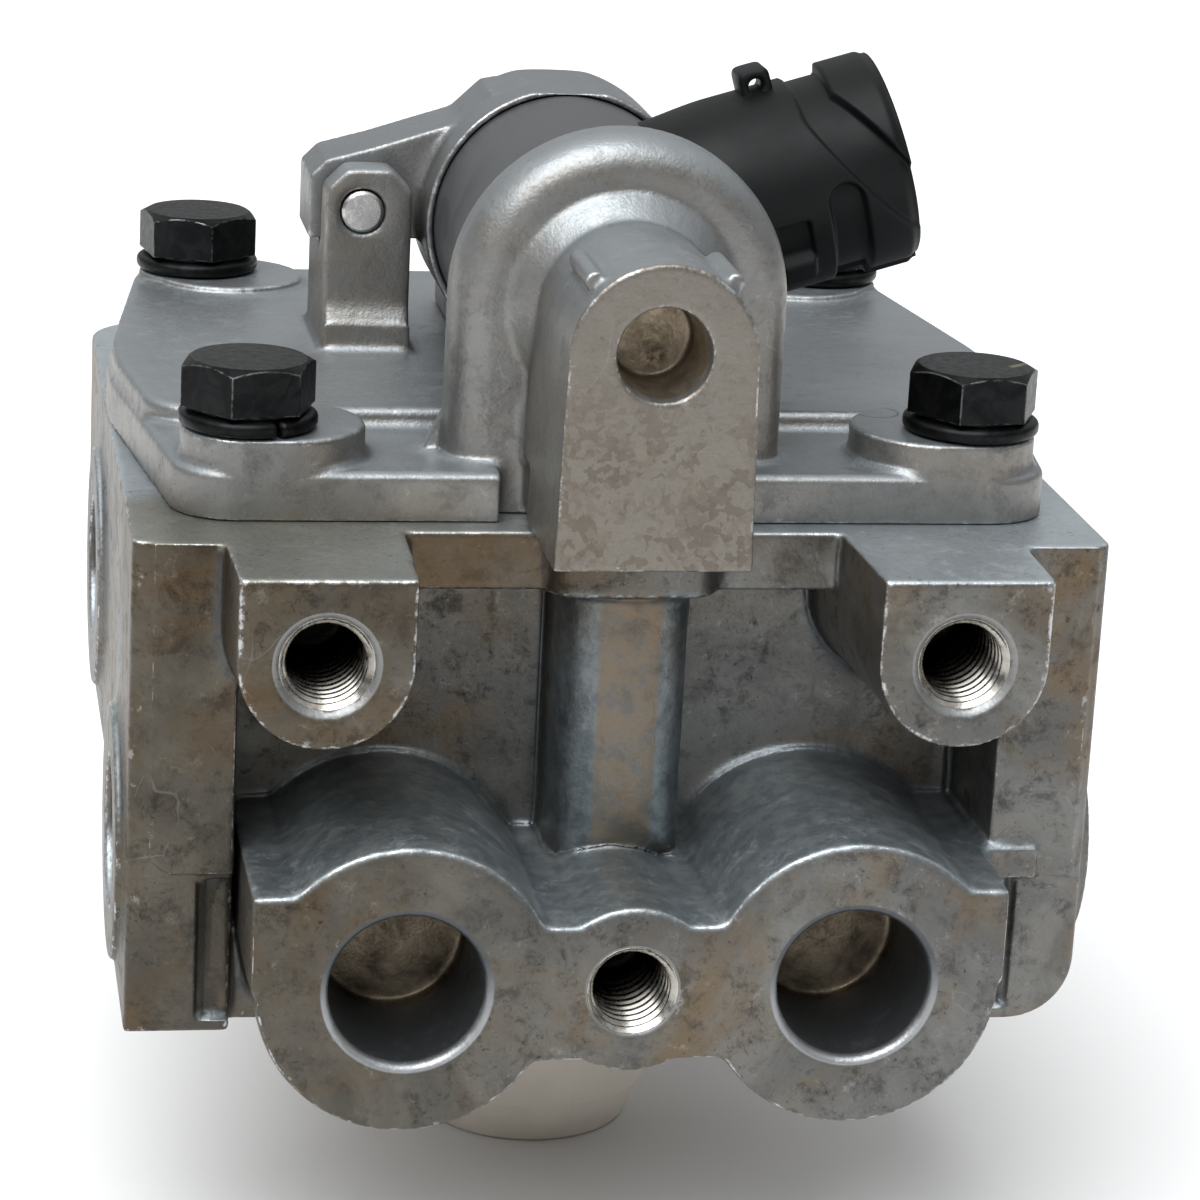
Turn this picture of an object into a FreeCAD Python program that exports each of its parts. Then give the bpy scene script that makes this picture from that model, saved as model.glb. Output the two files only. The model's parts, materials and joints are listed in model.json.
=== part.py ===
"""Brake relay valve: an electro-pneumatic relay valve for a commercial vehicle, in millimetres.

The origin is the centre of the exhaust mouth, which the valve stands on. +Z is up, and the face with
the two big ports looks along -Y. The valve's main axis is the Z axis, and the solenoid's axis runs
along Y above it.
"""
import FreeCAD, Part
import os
import re
import Sketcher

os.makedirs("parts", exist_ok=True)
doc = FreeCAD.newDocument("brake_relay_valve")

# Each size is an alias of the sheet, its value or a formula of earlier ones, and what it measures

SIZES = [
    ("body_half_width", 65, "middle to side face of the lower body"),
    ("body_front", 67.5, "main axis to the front plane of the corner columns"),
    ("body_back", 60.5, "main axis to the back face"),
    ("body_bottom", 39.5, "height of the lower body's bottom"),
    ("body_top", 107.7, "height of the joint between body and cover"),
    ("back_corner_radius", 12, "rounding of the body's back corners"),
    ("front_corner_radius", 1.6, "rounding of the body's front corners"),
    ("bottom_edge_radius", 9, "rounding of the right bottom edge"),
    ("column_width", 14, "side face to the inner edge of a front column"),
    ("column_inner", "=body_half_width - column_width", "middle to that edge"),
    ("panel_depth", 21, "front plane to the recessed front panel"),
    ("panel_raise", 0.9, "raised panel on the left column"),
    ("panel_side_margin", 2.6, "left column's edge to its raised panel"),
    ("panel_bottom", 62.4, "lower end of the raised panel"),
    ("panel_corner_radius", 4, "rounded lower corner of the raised panel"),
    ("band_depth", 6, "front plane to the band below the cover"),
    ("band_height", 8, "height of the band below the cover"),
    ("foot_pocket_width", 4.5, "shallow pocket low on a front column"),
    ("foot_pocket_depth", 1.5, "depth of the shallow pocket"),
    ("foot_pocket_top", 61.6, "top of the shallow pocket"),
    ("foot_pocket_floor", 2, "body bottom to the shallow pocket"),
    ("column_lug_width", 7, "light lug where the port block meets the right column"),
    ("column_lug_height", 4.4, "height of that lug"),
    ("rib_offset", 1.2, "middle to the rib's own middle"),
    ("rib_half_width", 8.8, "half width of the upright rib between the ports"),
    ("rib_front", 4, "front plane to the rib's face"),
    ("rib_bottom", 61.6, "lower end of the rib"),
    ("root_overlap", 1, "what a rib or a boss reaches into its wall"),
    ("overshoot", 1, "what a cut runs past the face that it opens"),
    ("rib_radius", 7, "rounding of the rib"),
    ("collar_half_width", 11.6, "half width of the rib's upper collar"),
    ("collar_front", 2.4, "front plane to the collar's face"),
    ("collar_radius", 4.4, "rounding of the collar's front corners"),
    ("collar_height", 8.2, "height of the collar"),
    ("port_spacing", 29.6, "middle to a front port"),
    ("port_height", 52.3, "height of the front ports"),
    ("port_face", 84.4, "main axis to the face of the front ports"),
    ("port_outer_radius", 19.8, "outside of a port barrel"),
    ("port_bore_radius", 10.25, "core bore of an M22 port"),
    ("port_bore_depth", 22, "depth of a front port"),
    ("port_chamfer", 0.7, "bright chamfer at a front port's mouth"),
    ("port_shoulder_gap", 1, "flat outer side of the port block to the column beside it"),
    ("port_shoulder_side", "=column_inner - port_shoulder_gap", "middle to that side"),
    ("port_shoulder_top", 65.6, "top of the port block's outer shoulder"),
    ("port_shoulder_width", 5.5, "width of that shoulder"),
    ("web_half_width", 12, "half width of the web between the port barrels"),
    ("web_top", 61, "top of the web"),
    ("web_bottom", 42, "bottom of the web"),
    ("port_duct_radius", 5, "cored duct behind a port"),
    ("duct_break", 3, "what a duct reaches into its chamber"),
    ("port_duct_height", 61.8, "height of the ducts to the supply chamber"),
    ("port_duct_spacing", 27, "middle to a front port's duct"),
    ("fixing_height", 52, "height of the centre fixing hole"),
    ("fixing_outer_radius", 11.6, "outside of the centre fixing boss"),
    ("fixing_hole_radius", 5.1, "core of the centre M12 thread"),
    ("fixing_hole_depth", 20, "depth of the centre thread"),
    ("fixing_sink_radius", 6.3, "countersink of the centre thread"),
    ("boss_spacing", 41.3, "middle to a mounting boss"),
    ("boss_drop", 11.3, "cover joint down to the mounting holes"),
    ("boss_height", "=body_top - boss_drop", "height of the mounting holes"),
    ("boss_face", 84.1, "main axis to the face of the mounting bosses"),
    ("boss_radius", 11.3, "half width of a mounting boss at its face"),
    ("boss_draft", 1.3, "what a mounting boss gains on each side at its root"),
    ("boss_hole_radius", 5.2, "core of the M12 thread"),
    ("boss_hole_depth", 24, "depth of the M12 thread"),
    ("boss_sink_radius", 7, "countersink of the M12 thread"),
    ("side_port_rise", 1.4, "what a side port's boss stands out"),
    ("side_port_outer_radius", 17.5, "outside of a side port's boss"),
    ("side_boss_root", 6, "what a side port's boss reaches into the body"),
    ("side_port_depth", 10.5, "depth of a side port's thread"),
    ("side_port_front", 47, "main axis to the front side ports"),
    ("side_duct_back", 39, "main axis to the front side ports' ducts"),
    ("side_port_height", 61.4, "height of the front side ports"),
    ("delivery_port_back", 9, "main axis to the delivery ports"),
    ("delivery_port_drop", 25.3, "cover joint down to the delivery ports"),
    ("delivery_port_height", "=body_top - delivery_port_drop", "height of the delivery ports"),
    ("back_port_height", 65, "height of the back supply port"),
    ("side_recess_depth", 9, "depth of the low recess in the body's sides"),
    ("side_recess_front", 26, "main axis to the front of the side recess"),
    ("side_recess_top", 59, "top of the side recess"),
    ("back_recess_depth", 7, "depth of the recesses in the back"),
    ("back_recess_inner", 22, "middle to the inner edge of a back recess"),
    ("back_recess_outer", 40, "middle to the outer edge of a back recess"),
    ("back_recess_bottom", 48, "lower end of a back recess"),
    ("back_recess_drop", 9.7, "cover joint down to a back recess"),
    ("back_recess_top", "=body_top - back_recess_drop", "upper end of a back recess"),
    ("guide_bore_radius", 24, "bore for the valve guide"),
    ("guide_bore_top", 57.5, "top of the valve guide's bore"),
    ("supply_radius", 30, "supply and delivery chambers"),
    ("supply_top", 73.5, "top of the supply chamber"),
    ("seat_web", 4, "thickness of the web that carries the inlet seat"),
    ("seat_hole_radius", 14, "opening of the inlet seat"),
    ("seat_lip_width", 1.5, "width of the inlet seat's lip"),
    ("seat_lip_height", 1, "height of the inlet seat's lip"),
    ("piston_bore_radius", 36, "bore of the relay piston"),
    ("ring_groove_depth", 1.5, "groove of the snap ring"),
    ("ring_groove_bottom", 42.4, "lower side of the snap ring's groove"),
    ("ring_groove_height", 1.6, "height of the snap ring's groove"),
    ("bolt_side_margin", 15.9, "side face to a cover bolt"),
    ("bolt_x", "=body_half_width - bolt_side_margin", "middle to a cover bolt"),
    ("bolt_back_margin", 11.75, "back face to a cover bolt"),
    ("bolt_y", "=body_back - bolt_back_margin", "main axis to a cover bolt"),
    ("bolt_radius", 5, "M10 shank"),
    ("thread_clearance", 0.05, "screw to the wall of its threaded hole"),
    ("bolt_hole_radius", 5.5, "clearance hole in the cover"),
    ("bolt_length", 30, "length of a cover bolt below its head"),
    ("bolt_hole_depth", 21, "depth of the M10 thread in the body"),
    ("bolt_flats", 16, "across the flats of a cover bolt's head"),
    ("bolt_head_height", 6.4, "height of a cover bolt's head"),
    ("head_chamfer", 30, "angle of a screw head's chamfer"),
    ("head_top_share", 0.95, "flat top of a head as a share of its flats"),
    ("head_washer_face", 0.4, "turned face under a cover bolt's head"),
    ("screw_tip", 1, "chamfer at a screw's tip"),
    ("washer_edge", 0.7, "rounded edge of a spring washer"),
    ("washer_outer_radius", 9.3, "outside of a spring washer"),
    ("washer_height", 2.4, "thickness of a spring washer"),
    ("washer_gap", 0.9, "cut in a spring washer"),
    ("flange_end_margin", 8.55, "bolt to the cover's front or back edge"),
    ("flange_front", "=bolt_y + flange_end_margin", "main axis to the cover's front edge"),
    ("flange_side_margin", 9.4, "bolt to the cover's corner"),
    ("flange_corner", "=bolt_x + flange_side_margin", "middle to the cover's corner"),
    ("flange_bulge", "=body_half_width", "middle to the cover's side at its widest"),
    ("flange_bulge_half", 6, "half length of the widest stretch"),
    ("flange_height", 6.7, "thickness of the cover's low front"),
    ("flange_corner_radius", 8.5, "rounding of the cover's corners"),
    ("flange_bulge_radius", 60, "rounding where the cover's side bends"),
    ("plateau_height", 9.6, "body top to the cover's raised top"),
    ("plateau_inset", 0.6, "what the raised top stands in from the flange"),
    ("plateau_front", 34, "main axis to the raised top's front edge"),
    ("top_edge_radius", 1.2, "rounding of the cover's upper edges"),
    ("bolt_pad_height", 11, "body top to a bolt's pad"),
    ("bolt_pad_radius", 11.3, "inner end of a bolt's pad"),
    ("bolt_pad_outer_radius", 8.9, "outer end of a bolt's pad"),
    ("bolt_pad_reach", 4.6, "bolt to the middle of the pad's inner end"),
    ("pad_notch_width", 3.4, "notch in the flange beside the pedestal"),
    ("pad_notch_depth", 4.5, "depth of that notch"),
    ("solenoid_rise", 28.3, "cover joint up to the solenoid's axis"),
    ("solenoid_height", "=body_top + solenoid_rise", "height of the solenoid's axis"),
    ("arch_radius", 22.7, "outside of the arch"),
    ("arch_front", 52.4, "main axis to the arch's front face"),
    ("arch_back", 43.4, "main axis to the arch's back face"),
    ("arch_round", 5, "rounding of the arch's front edge"),
    ("gusset_reach", 2.8, "small gusset at the arch's left foot"),
    ("pedestal_face", 82.3, "main axis to the pedestal's face"),
    ("pedestal_radius", 12.2, "rounded top of the pedestal"),
    ("pedestal_foot", 12.9, "half width of the pedestal at its bottom"),
    ("pedestal_bottom", 0.5, "body top to the pedestal's bottom"),
    ("pedestal_flare", 3.4, "flare where the pedestal meets the arch"),
    ("pedestal_hole_radius", 6.1, "mouth of the blind hole"),
    ("pedestal_hole_end_radius", 5.6, "bottom of the blind hole"),
    ("pedestal_hole_depth", 12, "depth of the blind hole"),
    ("pedestal_hole_rise", 0.5, "solenoid's axis up to the blind hole"),
    ("pedestal_hole_height", "=solenoid_height + pedestal_hole_rise", "height of the blind hole"),
    ("nib_radius", 1.3, "flash nibs on the pedestal's top"),
    ("nib_angle", 44, "angle of the nibs from upright"),
    ("nib_setback", 2.5, "pedestal face to the nibs"),
    ("nib_length", 14, "length of the nibs"),
    ("cradle_clearance", 0.5, "cover to the solenoid in its trough"),
    ("post_left", 34.6, "middle to the post's outer side"),
    ("post_right", 22, "middle to the post's inner side"),
    ("post_front", 0.3, "main axis to the post's front face, to the back"),
    ("post_thickness", 7.2, "thickness of the post"),
    ("pin_rise", 1.6, "solenoid's axis up to the locating pin"),
    ("pin_height", "=solenoid_height + pin_rise", "height of the locating pin"),
    ("post_crown", 6.2, "locating pin up to the top of the post"),
    ("post_top", "=pin_height + post_crown", "top of the post"),
    ("post_chamfer", 3.2, "chamfered top corners of the post"),
    ("post_step", 1.6, "what the post's foot stands forward"),
    ("post_step_rise", 13.5, "cover joint up to the post's sloped step"),
    ("post_step_bottom", "=body_top + post_step_rise", "lower end of that step"),
    ("post_step_height", 3.2, "height of that step"),
    ("post_step_top", "=post_step_bottom + post_step_height", "upper end of that step"),
    ("saddle_back", 22, "main axis to the back of the post's foot"),
    ("saddle_drop", 4.2, "solenoid's axis down to the top of the post's foot behind"),
    ("saddle_top", "=solenoid_height - saddle_drop", "top of the post's foot behind"),
    ("pin_x", 29.2, "middle to the locating pin"),
    ("pin_radius", 3, "locating pin"),
    ("pin_clearance", 0.2, "gap round the pin in the post"),
    ("pin_proud", 0.3, "what the pin stands out of the post"),
    ("pin_chamfer", 0.4, "chamfer at the pin's ends"),
    ("pin_length", 18, "length of the locating pin"),
    ("chamber_radius", 34, "control chamber in the cover"),
    ("chamber_height", 3, "depth of the control chamber"),
    ("pilot_bore_radius", 6, "pilot bore behind the arch"),
    ("pilot_bore_front", 60, "main axis to the end of the pilot bore"),
    ("pilot_duct_radius", 1.5, "control ducts"),
    ("pilot_duct_height", 3.5, "body top to the level control duct"),
    ("cover_seal_radius", 40, "middle line of the cover's seal"),
    ("cover_seal_wire", 0.95, "section radius of the cover's seal"),
    ("shell_radius", 18.8, "outside of the solenoid"),
    ("shell_wall", 3, "wall of the solenoid's shell"),
    ("shell_bore_radius", "=shell_radius - shell_wall", "inside of the solenoid's shell"),
    ("shell_front_wall", 2.6, "front wall of the solenoid's shell"),
    ("shell_gap", 0.1, "fine clearance between assembled pieces"),
    ("front_seal_radius", 8, "middle line of the solenoid's front seal"),
    ("front_seal_wire", 0.9, "section radius of the front seal"),
    ("seal_clearance", 0.05, "seal to the wall that it runs on"),
    ("shell_back", 2.4, "main axis to the shell's back end"),
    ("bobbin_wall", 1, "wall of the bobbin's tube"),
    ("bobbin_flange", 1.5, "thickness of the bobbin's flanges"),
    ("winding_clearance", 0.6, "winding to the solenoid's shell"),
    ("winding_radius", "=shell_bore_radius - winding_clearance", "outside of the winding"),
    ("armature_radius", 7.8, "armature"),
    ("armature_clearance", 0.1, "armature to the bobbin's tube"),
    ("armature_back", 17, "main axis to the armature's back end"),
    ("armature_travel", 1.8, "stroke of the armature"),
    ("stop_gap", 0.3, "gap left at the end of a stroke"),
    ("armature_spring_radius", 3.2, "mean radius of the armature's spring"),
    ("armature_spring_wire", 0.45, "wire radius of the armature's spring"),
    ("armature_spring_pocket", 5, "depth of the spring's pockets"),
    ("armature_spring_pitch", 2.4, "pitch of the armature's spring"),
    ("armature_length", 22.6, "length of the armature without its needle"),
    ("needle_clearance", 1.6, "needle to the hole in the shell"),
    ("needle_radius", 2.4, "needle at the armature's front"),
    ("nozzle_back", 50, "main axis to the nozzle's seat"),
    ("nozzle_front", 58, "main axis to the nozzle's front"),
    ("nozzle_hole_radius", 0.9, "hole of the nozzle"),
    ("core_flange_thickness", 2.2, "flange of the pole core"),
    ("core_tail", 6, "tail of the pole core in the rear cap"),
    ("core_tail_gap", 1, "end of that tail to the bottom of its pocket"),
    ("core_tail_radius", 6, "radius of the pole core's tail"),
    ("needle_gap", 0.1, "needle to its nozzle at rest"),
    ("cap_wall", 1.2, "what the rear cap stands out beyond the shell"),
    ("cap_radius", "=shell_radius + cap_wall", "outside of the rear cap"),
    ("cap_length", 23, "length of the rear cap"),
    ("cap_round", 4, "rounding of the rear cap's back edge"),
    ("cap_flat_drop", 0.7, "top of the rear cap's round down to its small flat"),
    ("cap_flat", "=solenoid_height + cap_radius - cap_flat_drop", "height of that flat"),
    ("cap_shoulder_drop", 2.2, "top of that round down to the shoulder beside the flat"),
    ("cap_shoulder_height", "=solenoid_height + cap_radius - cap_shoulder_drop", "height of that shoulder"),
    ("cap_lip", 2, "what the rear cap reaches over the shell"),
    ("cap_pocket_clearance", 0.2, "rear cap to the shell"),
    ("arm_left", 36.2, "middle to the end of the rear cap's arm"),
    ("arm_gap", 0.3, "post to the rear cap's arm"),
    ("arm_thickness", 14, "thickness of the arm"),
    ("arm_drop", 5.4, "locating pin down to the arm's underside"),
    ("arm_bottom", "=pin_height - arm_drop", "underside of the arm"),
    ("arm_chamfer", 2.4, "chamfer at the arm's end"),
    ("arm_end_rise", 9.1, "height of the arm's end"),
    ("arm_end_height", "=arm_bottom + arm_end_rise", "upper corner at the arm's end"),
    ("arm_mid_x", 26.9, "middle to the bend of the arm's top"),
    ("arm_mid_rise", 13.4, "height of the arm at that bend"),
    ("arm_mid_height", "=arm_bottom + arm_mid_rise", "height of that bend"),
    ("arm_root_x", 14.5, "middle to where the arm's top meets the cap"),
    ("arm_root_rise", 17.4, "height of the arm at that point"),
    ("arm_root_height", "=arm_bottom + arm_root_rise", "height of that point"),
    ("foot_height", 5, "thickness of the rear cap's foot"),
    ("foot_right", 33, "middle to the foot's right side"),
    ("foot_back", 39, "main axis to the foot's back"),
    ("foot_half_width", 14, "half width of the foot behind the cap"),
    ("foot_gap", 0.1, "rear cap's foot to the cover"),
    ("screw_side_x", 26, "middle to the side screw"),
    ("screw_side_y", 15, "main axis to the side screw"),
    ("screw_back_y", 33, "main axis to the back screw"),
    ("screw_radius", 3, "M6 shank"),
    ("screw_length", 10, "length of a cap screw below its head"),
    ("screw_flats", 8, "across the flats of a cap screw's head"),
    ("screw_flange_radius", 6.2, "flange of a cap screw's head"),
    ("screw_flange_height", 1.2, "thickness of that flange"),
    ("screw_head_height", 4, "height of a cap screw's hexagon"),
    ("socket_tilt", 17, "upward tilt of the connector"),
    ("socket_back", -11.4, "place of the connector along the solenoid"),
    ("socket_radius", 14.6, "barrel of the connector"),
    ("socket_collar_radius", 15.4, "locking collar of the connector"),
    ("socket_collar_start", 36, "solenoid axis to the collar"),
    ("socket_end", 46.5, "solenoid axis to the connector's mouth"),
    ("socket_bore_radius", 11.6, "inside of the connector"),
    ("socket_bore_depth", 18, "depth of the connector's inside"),
    ("socket_root_radius", 15.6, "thickened root of the connector"),
    ("socket_root_end", 21, "solenoid axis to the end of the thickened root"),
    ("bayonet_lug_width", 7, "width of a bayonet lug"),
    ("bayonet_lug_height", 2.2, "what a bayonet lug stands out of the barrel"),
    ("bayonet_lug_length", 6, "length of a bayonet lug"),
    ("tab_width", 6, "tab on the connector"),
    ("tab_height", 3.2, "what the tab stands out"),
    ("tab_start", 27.4, "solenoid axis to the tab"),
    ("tab_length", 4.5, "length of the tab"),
    ("tab_hole_radius", 0.9, "small hole in the tab"),
    ("contact_radius", 0.8, "contact pin"),
    ("contact_circle", 4.2, "middle of the connector to a contact pin"),
    ("contact_length", 12, "free length of a contact pin"),
    ("contact_root", 5, "length of a contact pin in its floor"),
    ("piston_clearance", 0.3, "relay piston to its bore"),
    ("piston_top_gap", 0.4, "cover joint to the relay piston at rest"),
    ("piston_height", 12, "height of the relay piston's rim"),
    ("piston_rim", 4.5, "width of the piston's rim"),
    ("piston_web", 5, "thickness of the piston's web"),
    ("piston_seal_wire", 1.3, "section radius of the piston's seal"),
    ("piston_seal_drop", 6, "piston top to the middle of its seal"),
    ("stem_radius", 10, "piston stem, whose end is the exhaust seat"),
    ("stem_bore_radius", 7, "hollow of the piston stem"),
    ("exhaust_lip_width", 1.2, "width of the exhaust seat"),
    ("exhaust_gap", 1.2, "exhaust seat to the valve at rest"),
    ("piston_travel", 3.2, "stroke of the relay piston"),
    ("piston_spring_radius", 18, "mean radius of the piston's spring"),
    ("piston_spring_wire", 0.9, "wire radius of the piston's spring"),
    ("piston_spring_pitch", 5.5, "pitch of the piston's spring"),
    ("spring_seat_gap", 0.3, "spring to its two seats"),
    ("coil_face_turns", 0.5, "turns of a spring's wire in one face"),
    ("valve_gap", 0.1, "inlet valve to its seat"),
    ("valve_flange_radius", 17, "flange of the inlet valve"),
    ("valve_flange_height", 3, "thickness of the valve's flange"),
    ("valve_rubber_height", 3.6, "thickness of the valve's rubber"),
    ("valve_rubber_bore", 8.2, "inside of the valve's rubber"),
    ("valve_tube_radius", 9.5, "tube of the inlet valve"),
    ("valve_tube_bore", 7.5, "exhaust way through the valve"),
    ("valve_tube_bottom", 46, "lower end of the valve's tube"),
    ("valve_travel", 2.1, "stroke of the inlet valve"),
    ("valve_fit", 0.08, "valve tube to its guide"),
    ("valve_spring_radius", 14.4, "mean radius of the valve's spring"),
    ("valve_spring_wire", 0.8, "wire radius of the valve's spring"),
    ("valve_spring_pitch", 3.6, "pitch of the valve's spring"),
    ("guide_fit", 0.1, "valve guide to its bore"),
    ("guide_bottom", 44.1, "underside of the valve guide"),
    ("guide_pocket_floor", 51.5, "floor of the spring's pocket"),
    ("guide_pocket_radius", 16.4, "outside of the spring's pocket"),
    ("guide_hub_radius", 12.8, "hub of the valve guide"),
    ("guide_recess_top", 48.4, "ceiling of the recess for the silencer's neck"),
    ("guide_seal_height", 50.6, "height of the guide's seal"),
    ("guide_seal_wire", 1.2, "section radius of the guide's seal"),
    ("stem_seal_height", 56, "height of the seal round the valve's tube"),
    ("stem_seal_wire", 0.9, "section radius of that seal"),
    ("ring_inner_radius", 20.6, "inside of the snap ring"),
    ("ring_gap_width", 9, "opening of the snap ring"),
    ("mouth_radius", 15.4, "outside of the exhaust mouth"),
    ("mouth_bore_radius", 12, "exhaust mouth"),
    ("mouth_bore_height", 8, "height of the exhaust mouth's bore"),
    ("silencer_radius", 18.4, "outside of the silencer"),
    ("silencer_taper_height", 6.7, "height of the tapered mouth"),
    ("silencer_bore_radius", 13.6, "inside of the silencer"),
    ("silencer_collar_radius", 20, "collar of the silencer"),
    ("silencer_collar_bottom", 31, "underside of the collar"),
    ("silencer_collar_top", 38, "top of the collar"),
    ("silencer_neck_radius", 18, "neck that is pressed into the guide"),
    ("silencer_neck_fit", 0.1, "neck to its recess"),
    ("pack_height", 21, "height of the silencer's knitted pack"),
    ("pack_hole_radius", 4.5, "hole through the pack"),
]

sheet = doc.addObject("Spreadsheet::Sheet", "Sizes")
for row, (alias, size, meaning) in enumerate(SIZES, start=1):
    sheet.set(f"A{row}", meaning)
    sheet.set(f"B{row}", str(size))
    sheet.setAlias(f"B{row}", alias)
doc.recompute()
ALIASES = {alias for alias, size, meaning in SIZES}
AXES = {"x": FreeCAD.Vector(1, 0, 0), "y": FreeCAD.Vector(0, 1, 0), "z": FreeCAD.Vector(0, 0, 1)}
CORNERS = [(-1, -1), (1, -1), (-1, 1), (1, 1)]
nodes = []


def formula(text):
    """The text of an expression, with each alias given its sheet."""
    return re.sub(r"[a-z]\w*", lambda word: "Sizes." + word[0] if word[0] in ALIASES else word[0], str(text))


def number(text):
    """What a formula comes to, in millimetres or degrees."""
    return float(sheet.evalExpression(formula(text)))


def turn_from_z(axis):
    """The rotation that lays +Z along an axis."""
    return FreeCAD.Rotation(AXES["z"], AXES[axis])


def bind(thing, **sizes):
    """Set properties of an object by formulas; a double underscore in a name stands for a dot."""
    for name, text in sizes.items():
        thing.setExpression(name.replace("__", "."), formula(text))
    return thing


def place(thing, x="0", y="0", z="0"):
    """Put an object's base at three formulas."""
    return bind(thing, Placement__Base__x=x, Placement__Base__y=y, Placement__Base__z=z)


def box(name, x, y, z):
    """A block between two formulas on each axis."""
    block = doc.addObject("Part::Box", name)
    bind(block, Length=f"({x[1]}) - ({x[0]})", Width=f"({y[1]}) - ({y[0]})", Height=f"({z[1]}) - ({z[0]})")
    return place(block, x[0], y[0], z[0])


def rod(name, axis, centre, radius, start, end, end_radius=None):
    """A cylinder along an axis between two formulas, or a cone where its end has another radius."""
    kind = "Part::Cylinder" if end_radius is None else "Part::Cone"
    round_bar = doc.addObject(kind, name)
    round_bar.Placement = FreeCAD.Placement(FreeCAD.Vector(), turn_from_z(axis))
    if end_radius is None:
        bind(round_bar, Radius=radius)
    else:
        bind(round_bar, Radius1=radius, Radius2=end_radius)
    bind(round_bar, Height=f"({end}) - ({start})")
    across = [letter for letter in "xyz" if letter != axis]
    return place(round_bar, **dict(zip(across, centre)), **{axis: start})


def fuse(name, pieces):
    """The union of several pieces."""
    union = doc.addObject("Part::MultiFuse", name)
    union.Shapes = pieces
    union.Refine = True
    return union


def cut(name, base, tools):
    """A piece without several others."""
    result = doc.addObject("Part::Cut", name)
    result.Base = base
    result.Tool = tools[0] if len(tools) == 1 else fuse(name + "_tools", tools)
    result.Refine = True
    return result


def soften(name, base, radius, wanted, kind="Part::Fillet"):
    """Round or chamfer the edges of a piece for which wanted(edge) holds."""
    doc.recompute()
    size = number(radius)
    chosen = [index for index, edge in enumerate(base.Shape.Edges, start=1) if wanted(edge)]
    result = doc.addObject(kind, name)
    result.Base = base
    result.Edges = [(index, size, size) for index in chosen]
    return result


def near(a, b):
    """Whether two lengths are the same."""
    return abs(a - b) < 1e-4


def is_line(edge):
    """Whether an edge is straight: as long as its ends are apart."""
    ends = [corner.Point for corner in edge.Vertexes]
    return len(ends) == 2 and near(ends[0].distanceToPoint(ends[1]), edge.Length)


def upright(edge):
    """Whether an edge is a straight line along Z."""
    return is_line(edge) and near(edge.BoundBox.ZLength, edge.Length)


def plane_of(body, role):
    """One of a body's own origin planes."""
    return next(plane for plane in body.Origin.OriginFeatures if plane.Role == role)


def sketched(name, role, corners):
    """A body with one closed sketch, whose corners are bound to pairs of formulas."""
    body = doc.addObject("PartDesign::Body", name)
    sketch = body.newObject("Sketcher::SketchObject", name + "_profile")
    sketch.AttachmentSupport = (plane_of(body, role), "")
    sketch.MapMode = "FlatFace"
    spots = [FreeCAD.Vector(number(across), number(up), 0) for across, up in corners]
    for index, spot in enumerate(spots):
        sketch.addGeometry(Part.LineSegment(spot, spots[(index + 1) % len(spots)]), False)
    for index in range(len(spots)):
        sketch.addConstraint(Sketcher.Constraint("Coincident", index, 2, (index + 1) % len(spots), 1))
    for index, (spot, corner) in enumerate(zip(spots, corners)):
        for kind, size, text in (("DistanceX", spot.x, corner[0]), ("DistanceY", spot.y, corner[1])):
            constraint = sketch.addConstraint(Sketcher.Constraint(kind, -1, 1, index, 1, size))
            sketch.setExpression(f"Constraints[{constraint}]", formula(text))
    return body, sketch


def turned(name, corners):
    """A body turned about Z from corners given as (radius, height)."""
    body, sketch = sketched(name, "XZ_Plane", corners)
    turning = body.newObject("PartDesign::Revolution", name + "_turning")
    turning.Profile = sketch
    turning.ReferenceAxis = (sketch, ["V_Axis"])
    turning.Angle = 360
    return body


def padded(name, role, corners, length, both_ways=False):
    """A body raised from an outline by a formula's length."""
    body, sketch = sketched(name, role, corners)
    pad = body.newObject("PartDesign::Pad", name + "_pad")
    pad.Profile = sketch
    pad.Midplane = both_ways
    bind(pad, Length=length)
    return body


def ring(name, radius, wire, height):
    """A round seal about Z: a torus at a height."""
    torus = doc.addObject("Part::Torus", name)
    bind(torus, Radius1=radius, Radius2=wire)
    return place(torus, z=height)


def coil(name, radius, wire, pitch, height):
    """A coil spring about Z from z = 0, whose wire starts and ends inside its height."""
    spine = doc.addObject("Part::Helix", name + "_helix")
    bind(spine, Radius=radius, Pitch=pitch, Height=f"({height}) - 2 * {wire}",
         SegmentLength="coil_face_turns")
    section = doc.addObject("Part::Circle", name + "_wire")
    section.Placement = FreeCAD.Placement(FreeCAD.Vector(), FreeCAD.Rotation(AXES["x"], 90))
    bind(section, Radius=wire, Placement__Base__x=radius)
    spring = doc.addObject("Part::Sweep", name)
    spring.Sections = [section]
    spring.Spine = (spine, [])
    spring.Solid = True
    spring.Frenet = True
    return spring


def node(thing, label):
    """Keep a finished sub-part under the name of its file."""
    thing.Label = label
    nodes.append(thing)
    return thing


def lay_along_y(thing, x, y, z):
    """Lay a piece that was turned about Z along +Y, with its zero at three formulas."""
    thing.Placement = FreeCAD.Placement(FreeCAD.Vector(), turn_from_z("y"))
    return place(thing, x, y, z)


# Heights that the moving pieces and their seats share

PISTON_TOP = "(body_top - piston_top_gap)"
PISTON_STEP = f"({PISTON_TOP} - piston_height - piston_travel - stop_gap)"
WEB_TOP = "(supply_top + seat_web)"
SEAT = "(supply_top - seat_lip_height)"
VALVE_TOP = f"({SEAT} - valve_gap)"
FLANGE_TOP = f"({VALVE_TOP} - valve_rubber_height)"
FLANGE_BOTTOM = f"({FLANGE_TOP} - valve_flange_height)"
HUB_TOP = f"({FLANGE_BOTTOM} - valve_travel - stop_gap)"


# Lower body: a square casting with an open front, two big ports and two mounting bosses

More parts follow.
